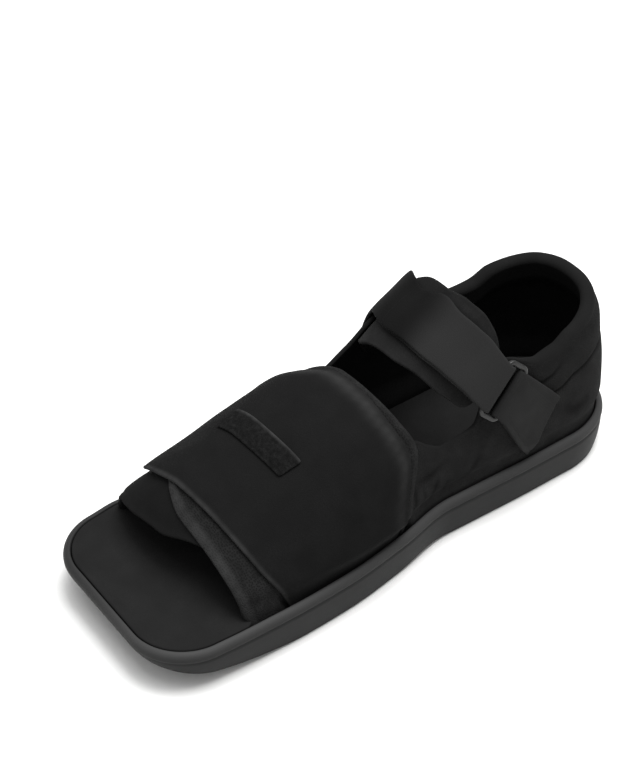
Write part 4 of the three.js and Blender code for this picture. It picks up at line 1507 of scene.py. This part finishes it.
@dataclass
class LaidPanel:
    """Cloth panel laid over the last between the front and rear edges of its rows."""

    last: Last
    name: str
    edges: Table
    under: float
    thickness: float
    finishes: tuple[Finish, ...]
    node: str
    slot: str
    columns: int = 150
    rows: int = 90
    hem: float = 3.0
    hem_depth: float = 0.3
    rear_roll: float = 0.0
    waves: float = 0.25
    corner: float = 0.02
    girth: float = 225.0
    creases: tuple[Crease, ...] = ()
    cover: Table | None = None
    tones: tuple[EdgeTone, ...] = ()
    # Share of painted light over the top of the panel, fading out towards the outer sole edge
    painted_top_light: float = 0.0

    def shown(self, at: Array, across: Array) -> Array:
        """Share of each place that the panel over this one leaves bare."""
        if self.cover is None:
            return np.ones_like(at)
        front = self.cover.read("front", across)
        rear = self.cover.read("rear", across)
        under = ease(at, front - 0.012, front - 0.002) * (1 - ease(at, rear + 0.002, rear + 0.012))
        return 1 - under

    def spots(self) -> tuple[Array, Array]:
        """Stations and shares across of the panel's grid, its corners drawn in a little.

        The grid stops half a thickness inside the cut edge, where the rounded rim begins.
        """
        sizes = self.last.sizes
        u = np.linspace(-1, 1, self.columns + 1)[:, None]
        v = np.linspace(-1, 1, self.rows + 1)[None, :]
        pull = self.corner * np.abs(u * v) ** 9
        u, v = u * (1 - pull), v * (1 - pull)
        rim = self.thickness / 2
        first = self.edges.first + rim / self.girth
        last = self.edges.last - rim / self.girth
        across = blend(first, last, (u + 1) / 2)
        front = self.edges.read("front", across) + rim / sizes.length
        rear = self.edges.read("rear", across) - rim / sizes.length
        return blend(front, rear, (v + 1) / 2), across

    def relief(self, at: Array, across: Array) -> Array:
        """Height of the outer face over its plain place: hem, roll, creases and slow waves."""
        sizes = self.last.sizes
        front = (at - self.edges.read("front", across)) * sizes.length
        rear = (self.edges.read("rear", across) - at) * sizes.length
        ends = (across - self.edges.first) * self.girth
        far = (self.edges.last - across) * self.girth
        edge = np.minimum(np.minimum(front, rear), np.minimum(ends, far))
        place = np.stack([at * sizes.length, across * self.girth], -1)
        stitched = -self.hem_depth * bell(edge - self.hem, 0.8)
        plump = 0.5 * self.hem_depth * bell(edge - self.hem * 0.4, self.hem * 0.4)
        rolled = self.rear_roll * (bell(rear - 6.5, 4.2) - 0.8 * bell(rear, 3.0))
        rolled = rolled * ease(across, 0.06, 0.3)
        calm = ease(edge, 0.0, 9.0)
        lift = self.under + self.thickness
        height = self.last.laid(at, across, lift)[..., 2]
        foot = self.last.foot_relief(at, height, lift) * self.shown(at, across)
        return (
            stitched
            + plump
            + rolled
            + foot
            + relief_of(self.creases, place)
            + soft_waves(place, 21.0, self.waves) * calm
        )

    def tone_and_painted_light_share(self) -> Array:
        """Share of the lighter second colour over the panel: its edge tones, a little uneven, plus
        painted light over its top.
        """
        at, across = self.spots()
        gaps = {
            Edge.FRONT: (at - self.edges.read("front", across)) * self.last.sizes.length,
            Edge.REAR: (self.edges.read("rear", across) - at) * self.last.sizes.length,
        }
        place = np.stack([at * self.last.sizes.length, across * self.girth], -1)
        uneven = 0.8 + soft_waves(place, 4.0, 0.2) + soft_waves(place, 13.0, 0.25)
        total = np.zeros_like(at)
        for tone in self.tones:
            total = total + tone.share * bell(gaps[tone.edge] - tone.distance, tone.width)
        total = np.maximum(total * blend(0.35, 1.0, ease(across, 0.06, 0.3)), 0)
        return np.clip(total * uneven + self.painted_top_light * ease(across, 0.1, 0.34), 0, 1)

    def face(self, lift: float, relief_share: float) -> Array:
        """Grid of points at a lift, with a share of the panel's relief."""
        at, across = self.spots()
        return self.last.laid(at, across, lift + relief_share * self.relief(at, across))

    def build(self, shop: Workshop) -> bpy.types.Object:
        """Makes the panel."""
        inner = self.face(self.under, 0.0)
        outer = self.face(self.under + self.thickness, 1.0)
        surface = shell(outer, inner, tone_and_painted_light_share=self.tone_and_painted_light_share())
        return shop.dress(self.name, surface, self.finishes, self.node)


@dataclass
class AnkleCushion:
    """Soft pad under the ankle strap: fullest along its middle, thin at its edges."""

    last: Last
    columns: int = 150
    rows: int = 60
    proud: float = 2.4
    roll: float = 1.6
    name: str = "ankle_cushion"

    def build(self, shop: Workshop) -> None:
        """Makes the pad."""
        sizes = self.last.sizes
        u = np.linspace(-1, 1, self.columns + 1)[:, None]
        v = np.linspace(-1, 1, self.rows + 1)[None, :]
        pull = 0.05 * np.abs(u * v) ** 7
        u, v = u * (1 - pull), v * (1 - pull)
        rim = 0.2 * sizes.pad_thickness
        across = blend(PAD.first + rim / 225, PAD.last - rim / 225, (u + 1) / 2)
        front = PAD.read("front", across) + (rim - self.proud) / sizes.length
        rear = PAD.read("rear", across) - rim / sizes.length
        at = blend(front, rear, (v + 1) / 2)
        flat = np.maximum(np.abs(u) ** 8, np.abs(v) ** 6)
        thickness = sizes.pad_thickness * (1 - 0.6 * flat)
        place = np.stack(np.broadcast_arrays(at * sizes.length, across * 225), -1)
        behind = (rear - at) * sizes.length
        sides = 1 - ease(across, 0.4, 0.49) + ease(across, 0.58, 0.66)
        roll = self.roll * bell(behind - 4.0, 3.0) * sides
        relief = soft_waves(place, 21.0, 0.1) * (1 - flat) + roll
        lift = -sizes.upper_wall - 3 * sizes.gap
        outer = self.last.laid(at, across, lift + relief)
        inner = self.last.laid(at, across, lift - thickness)
        surface = shell(outer, inner, 6)
        piece = shop.dress(self.name, surface, [PAD_LAMINATE, LINING], "ankle_pad")


class BarSide(Enum):
    """Long bar of the ring: the strap's, towards the ankle, or the tab's, towards the sole."""

    STRAP = 1
    TAB = -1


class RingPlace:
    """Place of the ring on the outer quarter, and the fabric folds round its bars."""

    # How far a fold stands off its bar inside the slot
    slack = 0.9

    def __init__(self, last: Last) -> None:
        """Works out the ring's frame: along its slot, up towards the strap, and outwards.

        Args:
            last: the last that the ring lies on.
        """
        sizes = last.sizes
        self.sizes = sizes
        lift = sizes.ring_depth / 2 + sizes.strap_thickness + 4 * sizes.gap
        seats = np.array(RING_SEAT)
        low, high = last.laid(seats[:, 0], seats[:, 1], lift)
        at, across = seats.mean(0)
        over = last.laid(at, across + 0.03, lift) - last.laid(at, across - 0.03, lift)
        self.centre = (low + high) / 2
        self.along = unit(high - low)
        self.out = unit(np.cross(self.along, over))
        self.up = np.cross(self.out, self.along)

    def place(self, along: Any, up: Any, out: Any) -> Array:
        """Points from their places in the ring's frame."""
        along, up, out = np.broadcast_arrays(along, up, out)
        return (
            self.centre
            + along[..., None] * self.along
            + up[..., None] * self.up
            + out[..., None] * self.out
        )

    def loop(self, share: Array, turn: Any, side: BarSide, thickness: float) -> Array:
        """Middle surface of fabric that passes round a bar.

        At turn 0 it is in the ring's slot; at minus and plus a right angle its inner and outer
        layers leave the bar. The way along the ring's height is minus the radius and the slack
        times the cosine, the way out is the sine times the bar's half depth.

        Args:
            share: shares of the fabric's width.
            turn: turns round the bar.
            side: the bar.
            thickness: thickness of the fabric.

        Returns:
            The points.
        """
        sizes = self.sizes
        bar = (sizes.ring_height - sizes.ring_rod) / 2
        high = sizes.ring_rod / 2 + sizes.gap + thickness / 2 + self.slack
        deep = sizes.ring_depth / 2 + sizes.gap + thickness / 2
        up = side.value * (bar - high * np.cos(turn))
        return self.place((share - 0.5) * sizes.fold_length, up, deep * np.sin(turn))


@dataclass
class StrapRibbon:
    """Ankle strap: from the inner side over the pad, round the ring's bar and back over itself."""

    last: Last
    ring: RingPlace
    lower_rows: int = 170
    upper_rows: int = 110
    loop_rows: int = 18
    points_across: int = 36
    end_sink: float = 0.95
    name: str = "strap_ribbon"

    def spots(self, across: Array, v: Array, layer: float) -> Array:
        """Points of one layer's middle surface as it lies over the last."""
        sizes = self.last.sizes
        centre = STRAP.read("centre", across)
        half = STRAP.read("spread", across) * sizes.strap_width / 2 / sizes.length
        sunk = self.end_sink * ease(across, STRAP_RETURN - 0.09, STRAP_RETURN) if layer else 0.0
        lift = STRAP.read("lift", across) + sizes.strap_thickness * (layer - sunk + 0.5)
        place = np.stack(np.broadcast_arrays(across * 225, v * sizes.strap_width), -1)
        camber = 0.35 * (1 - (2 * v - 1) ** 4)
        full = 2.4 * bell(across - 0.44, 0.045) - 1.4 * bell(across - 0.54, 0.05)
        lift = lift + camber + soft_waves(place, 19.0, 0.12) + full * ease(v, 0.45, 1.0)
        at = centre + half * (2 * v - 1)
        height = self.last.laid(at, across, lift)[..., 2]
        return self.last.laid(at, across, lift + self.last.foot_relief(at, height))

    def laid(self, across: Array, v: Array, layer: float) -> Array:
        """Points of one layer's middle surface.

        Its shift from the cloth's place to the fold round the ring fades with the distance.
        """
        start = blend(STRAP_START["front"], STRAP_START["rear"], v)
        leaving = math.pi / 2 if layer else -math.pi / 2
        held = self.ring.loop(v, leaving, BarSide.STRAP, self.last.sizes.strap_thickness)
        shift = held - self.spots(start, v, layer)
        near = 1 - ease(across - start, 0, RING_BLEND)
        return self.spots(across, v, layer) + shift * near[..., None]

    def tone_and_painted_light_share(self, across: Array) -> Array:
        """Share of the lighter colour: most on the outer side, where light is painted, and none over the
        ridge, where shade is painted.
        """
        return 1 - ease(across, 0.38, 0.5) + 0.6 * ease(across, 0.59, 0.68)

    def build(self, shop: Workshop) -> None:
        """Makes the strap as one band, folded round the ring."""
        sizes = self.last.sizes
        rim = sizes.strap_thickness / 2
        v = np.linspace(0, 1, self.points_across + 1)[None, :]
        v = blend(rim / sizes.strap_width, 1 - rim / sizes.strap_width, v)
        start = blend(STRAP_START["front"], STRAP_START["rear"], v)
        down = np.linspace(1, 0.004, self.lower_rows)[:, None]
        up = np.linspace(0.004, 1, self.upper_rows)[:, None]
        turns = np.linspace(-np.pi / 2, np.pi / 2, self.loop_rows)[1:-1, None]
        under = self.laid(blend(start, STRAP_INNER_END, down), v, 0.0)
        over = self.laid(blend(start, STRAP_RETURN, up), v, 1.06)
        loop = self.ring.loop(v, turns, BarSide.STRAP, sizes.strap_thickness)
        centre = np.concatenate([under, loop, over])
        out = sheet_normals(centre) * sizes.strap_thickness / 2
        reach = [
            blend(start, STRAP_INNER_END, down),
            np.broadcast_to(start, loop.shape[:2]),
            blend(start, STRAP_RETURN, up),
        ]
        surface = shell(centre + out, centre - out, 4, tone_and_painted_light_share=self.tone_and_painted_light_share(np.concatenate(reach)))
        shop.dress(self.name, surface, [STRAP_NYLON, STRAP_NYLON], "ankle_strap")


@dataclass
class RingLoop:
    """Oblong plastic loop: a round rod carried along a rounded rectangle."""

    ring: RingPlace
    corner_steps: int = 12
    side_steps: int = 8
    section_points: int = 20
    name: str = "ring_loop"

    def build(self, shop: Workshop) -> None:
        """Makes the loop."""
        sizes = self.ring.sizes
        x = (sizes.ring_length - sizes.ring_rod) / 2
        y = (sizes.ring_height - sizes.ring_rod) / 2
        corner = sizes.ring_corner - sizes.ring_rod / 2
        path, outward = [], []
        for k, (sx, sy) in enumerate(((1, -1), (1, 1), (-1, 1), (-1, -1))):
            turns = np.linspace(0, np.pi / 2, self.corner_steps) + (k - 1) * np.pi / 2
            away = np.stack([np.cos(turns), np.sin(turns)], -1)
            path.append(np.array([sx * (x - corner), sy * (y - corner)]) + corner * away)
            outward.append(away)
        path_points = np.concatenate(path)
        away_points = np.concatenate(outward)
        around = np.linspace(0, 2 * np.pi, self.section_points, endpoint=False)
        cosine, sine = np.cos(around), np.sin(around)
        wide = np.sign(cosine) * np.abs(cosine) ** 0.75 * sizes.ring_rod / 2
        deep = np.sign(sine) * np.abs(sine) ** 0.75 * sizes.ring_depth / 2
        plan = path_points[:, None] + away_points[:, None] * wide[None, :, None]
        points = self.ring.place(plan[..., 0], plan[..., 1], np.broadcast_to(deep, plan.shape[:2]))
        rows, columns = points.shape[:2]
        closed = np.concatenate([points, points[:1]])
        faces = grid_faces(rows + 1, columns, wrap=True) % (rows * columns)
        flat = arc_map(closed)[:-1].reshape(-1, 2)
        surface = Surface(points.reshape(-1, 3), faces, flat, np.zeros(len(faces)))
        shop.dress(self.name, surface, [RING_ACETAL], "strap_ring")


@dataclass
class TabRibbon:
    """Four-cornered tab sewn to the outer quarter: tape folded round the ring's lower bar."""

    last: Last
    ring: RingPlace
    layer_rows: int = 70
    loop_rows: int = 18
    points_across: int = 44
    settle: float = 0.8
    seam: int = 4
    name: str = "tab_ribbon"

    def spots(self, u: Array, v: Array, layer: float) -> Array:
        """Points of one layer's middle surface as it lies over the last."""
        sizes = self.last.sizes
        corners = {key: np.array(value) for key, value in TAB_CORNERS.items()}
        u2, v2 = u[..., None], v[..., None]
        near = blend(corners["front"], corners["rear"], u2)
        far = blend(corners["point"], corners["corner"], u2)
        spot = blend(near, far, v2) - np.array([0.042, 0.0]) * u2 * (1 - u2) * v2
        thickness = sizes.ring_tab_thickness / 2
        stitched = -0.3 * bell((1 - u) * 26 - 3.0, 0.8) - 0.3 * bell(u * 26 - 3.0, 0.8)
        relief = stitched * ease(v, 0.08, 0.2) if layer > 0.5 else 0.0
        lift = 0.5 + thickness * (layer + 0.5) + relief
        ribs = self.last.side_ribs(spot[..., 0], True)
        return self.last.at_height(ribs, spot[..., 1] * sizes.collar_height, lift)

    def laid(self, u: Array, v: Array, layer: float) -> Array:
        """Points of one layer's middle surface.

        Its shift from the cloth's place to the fold round the ring fades with the distance.
        """
        thickness = self.last.sizes.ring_tab_thickness / 2
        held = self.ring.loop(u, math.pi / 2 if layer else -math.pi / 2, BarSide.TAB, thickness)
        shift = held - self.spots(u, np.zeros_like(u), layer)
        return self.spots(u, v, layer) + shift * (1 - ease(v, 0, self.settle))[..., None]

    def build(self, shop: Workshop) -> None:
        """Makes the tab as one band, folded round the ring."""
        sizes = self.last.sizes
        thickness = sizes.ring_tab_thickness / 2
        u = np.linspace(0.02, 0.98, self.points_across + 1)[None, :]
        v = np.linspace(0.003, 0.985, self.layer_rows)[:, None]
        u_grid, v_grid = np.broadcast_arrays(u, v)
        turns = np.linspace(np.pi / 2, -np.pi / 2, self.loop_rows)[1:-1, None]
        over = self.laid(u_grid, v_grid[::-1], 1.04)
        under = self.laid(u_grid, v_grid, 0.0)
        loop = self.ring.loop(u, turns, BarSide.TAB, thickness)
        centre = np.concatenate([over, loop, under])
        out = sheet_normals(centre)
        face = centre + out * thickness / 2
        surface = shell(face, centre - out * thickness / 2, 4)
        shop.dress(self.name, surface, [TAB_NYLON, TAB_NYLON], "ring_tab")
        rows = slice(2, int(0.82 * self.layer_rows))
        seams = [stitches(face[rows, k], out[rows, k]) for k in (self.seam, -self.seam - 1)]
        shop.sew("tab_stitches", Surface.join(seams))


@dataclass
class Studio:
    """Pale floor, soft lights and the camera at the photograph's angle."""

    azimuth: float = 53.97
    elevation: float = 39.61
    distance: float = 1184.0
    focal_pixels: float = 2418.6
    image_height: int = 775
    target: tuple[float, float, float] = (-43.9, 12.89, 45.0)
    sensor: float = 36.0

    def camera(self) -> None:
        """Makes the camera."""
        a, e = math.radians(self.azimuth), math.radians(self.elevation)
        back = Vector((math.sin(a) * math.cos(e), -math.cos(a) * math.cos(e), math.sin(e)))
        data = bpy.data.cameras.new("camera")
        data.lens = self.focal_pixels * self.sensor / self.image_height
        data.sensor_width = self.sensor
        data.clip_start, data.clip_end = 0.05, 50.0
        camera = bpy.data.objects.new("camera", data)
        camera.location = (Vector(self.target) + back * self.distance) * MM
        camera.rotation_mode = "QUATERNION"
        camera.rotation_quaternion = (-back).to_track_quat("-Z", "Y")
        bpy.context.scene.collection.objects.link(camera)
        bpy.context.scene.camera = camera

    def floor(self) -> None:
        """Makes the pale floor."""
        mesh = bpy.data.meshes.new("floor")
        reach = 6.0
        corners = [(-reach, -reach, 0), (reach, -reach, 0), (reach, reach, 0), (-reach, reach, 0)]
        mesh.from_pydata(corners, [], [(0, 1, 2, 3)])
        floor = bpy.data.objects.new("floor", mesh)
        bpy.context.scene.collection.objects.link(floor)
        paint = Finish("pale_studio_floor", "f4f4f3", "f1f1f0", 0.9, 3.0, 0.0, 300.0)
        floor.data.materials.append(paint.material())

    def light(self, name: str, place: Sequence[float], size: float, power: float) -> None:
        """Makes a square area light that faces the shoe.

        Args:
            name: the light's name.
            place: its place in metres.
            size: its side in metres.
            power: its power in watts.
        """
        data = bpy.data.lights.new(name, "AREA")
        data.shape = "SQUARE"
        data.size = size
        data.energy = power
        lamp = bpy.data.objects.new(name, data)
        lamp.location = place
        aim = Vector((0.0, 0.0, 0.04)) - Vector(place)
        lamp.rotation_mode = "QUATERNION"
        lamp.rotation_quaternion = aim.to_track_quat("-Z", "Y")
        bpy.context.scene.collection.objects.link(lamp)

    def build(self) -> None:
        """Makes the studio."""
        self.camera()
        self.floor()
        world = bpy.data.worlds.new("studio")
        world.use_nodes = True
        background = world.node_tree.nodes["Background"]
        background.inputs["Color"].default_value = linear("ffffff")
        background.inputs["Strength"].default_value = 0.62
        bpy.context.scene.world = world
        bpy.context.scene.view_settings.view_transform = "Standard"
        self.light("key", (0.1, 0.45, 2.1), 1.3, 46.0)
        self.light("top", (0.1, -0.3, 2.2), 1.2, 18.0)


@dataclass
class Shoe:
    """The whole shoe."""

    last: Last
    shop: Workshop

    def panels(self) -> list[LaidPanel]:
        """Cloth panels from the inside out."""
        sizes = self.last.sizes
        wall = sizes.upper_wall
        patch_lift = sizes.closure_lift + sizes.closure_thickness + sizes.gap
        return [
            LaidPanel(
                self.last, "vamp_flap", VAMP_FLAP, 0.2 - wall, wall,
                (FLAP_TRICOT, LINING), "upper", "upper_mesh", 150, 100, waves=0.2,
            ),
            LaidPanel(
                self.last, "vamp_band", VAMP_BAND, sizes.band_lift - wall, wall,
                (BAND_MESH, LINING), "upper", "upper_mesh", 170, 120, 4.8, 0.5,
                cover=CLOSURE,
                tones=(EdgeTone(Edge.FRONT, 2.2, 2.3, 0.9), EdgeTone(Edge.REAR, 1.0, 1.6, 0.3)),
            ),
            LaidPanel(
                self.last, "closure_panel", CLOSURE, sizes.closure_lift, sizes.closure_thickness,
                (CLOSURE_LOOP, LINING), "forefoot_closure", "closure_fabric", 180, 110,
                2.4, 0.15, 0.7,
                # The rear stripe is a painted highlight on the rolled edge, and painted_top_light paints
                # light over the top
                tones=(EdgeTone(Edge.FRONT, 0.9, 1.0, 1.0), EdgeTone(Edge.REAR, 4.6, 3.6, 0.9)),
                painted_top_light=0.1,
            ),
            LaidPanel(
                self.last, "blank_patch", PATCH, patch_lift, sizes.patch_thickness,
                (PATCH_LOOP, PATCH_LOOP), "closure_patch", "patch_fabric", 120, 40,
                1.4, 0.25, 0.0, 0.1,
                tones=(EdgeTone(Edge.REAR, 0.6, 0.7, 1.0),),
            ),
        ]

    def build(self) -> None:
        """Builds every piece in order."""
        outline = SoleOutline(self.last)
        SoleUnit(outline).build(self.shop)
        Footbed(outline).build(self.shop)
        QuarterShell(self.last, creases=QUARTER_CREASES).build(self.shop)
        for panel in self.panels():
            panel.build(self.shop)
        ring = RingPlace(self.last)
        AnkleCushion(self.last).build(self.shop)
        StrapRibbon(self.last, ring).build(self.shop)
        RingLoop(ring).build(self.shop)
        TabRibbon(self.last, ring).build(self.shop)


def main() -> None:
    """Loads the frame, and builds the studio and the shoe."""
    logging.basicConfig(level=logging.INFO, format="%(message)s")
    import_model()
    Studio().build()
    Shoe(Last(ShoeSizes()), Workshop()).build()


if __name__ == "__main__":
    main()
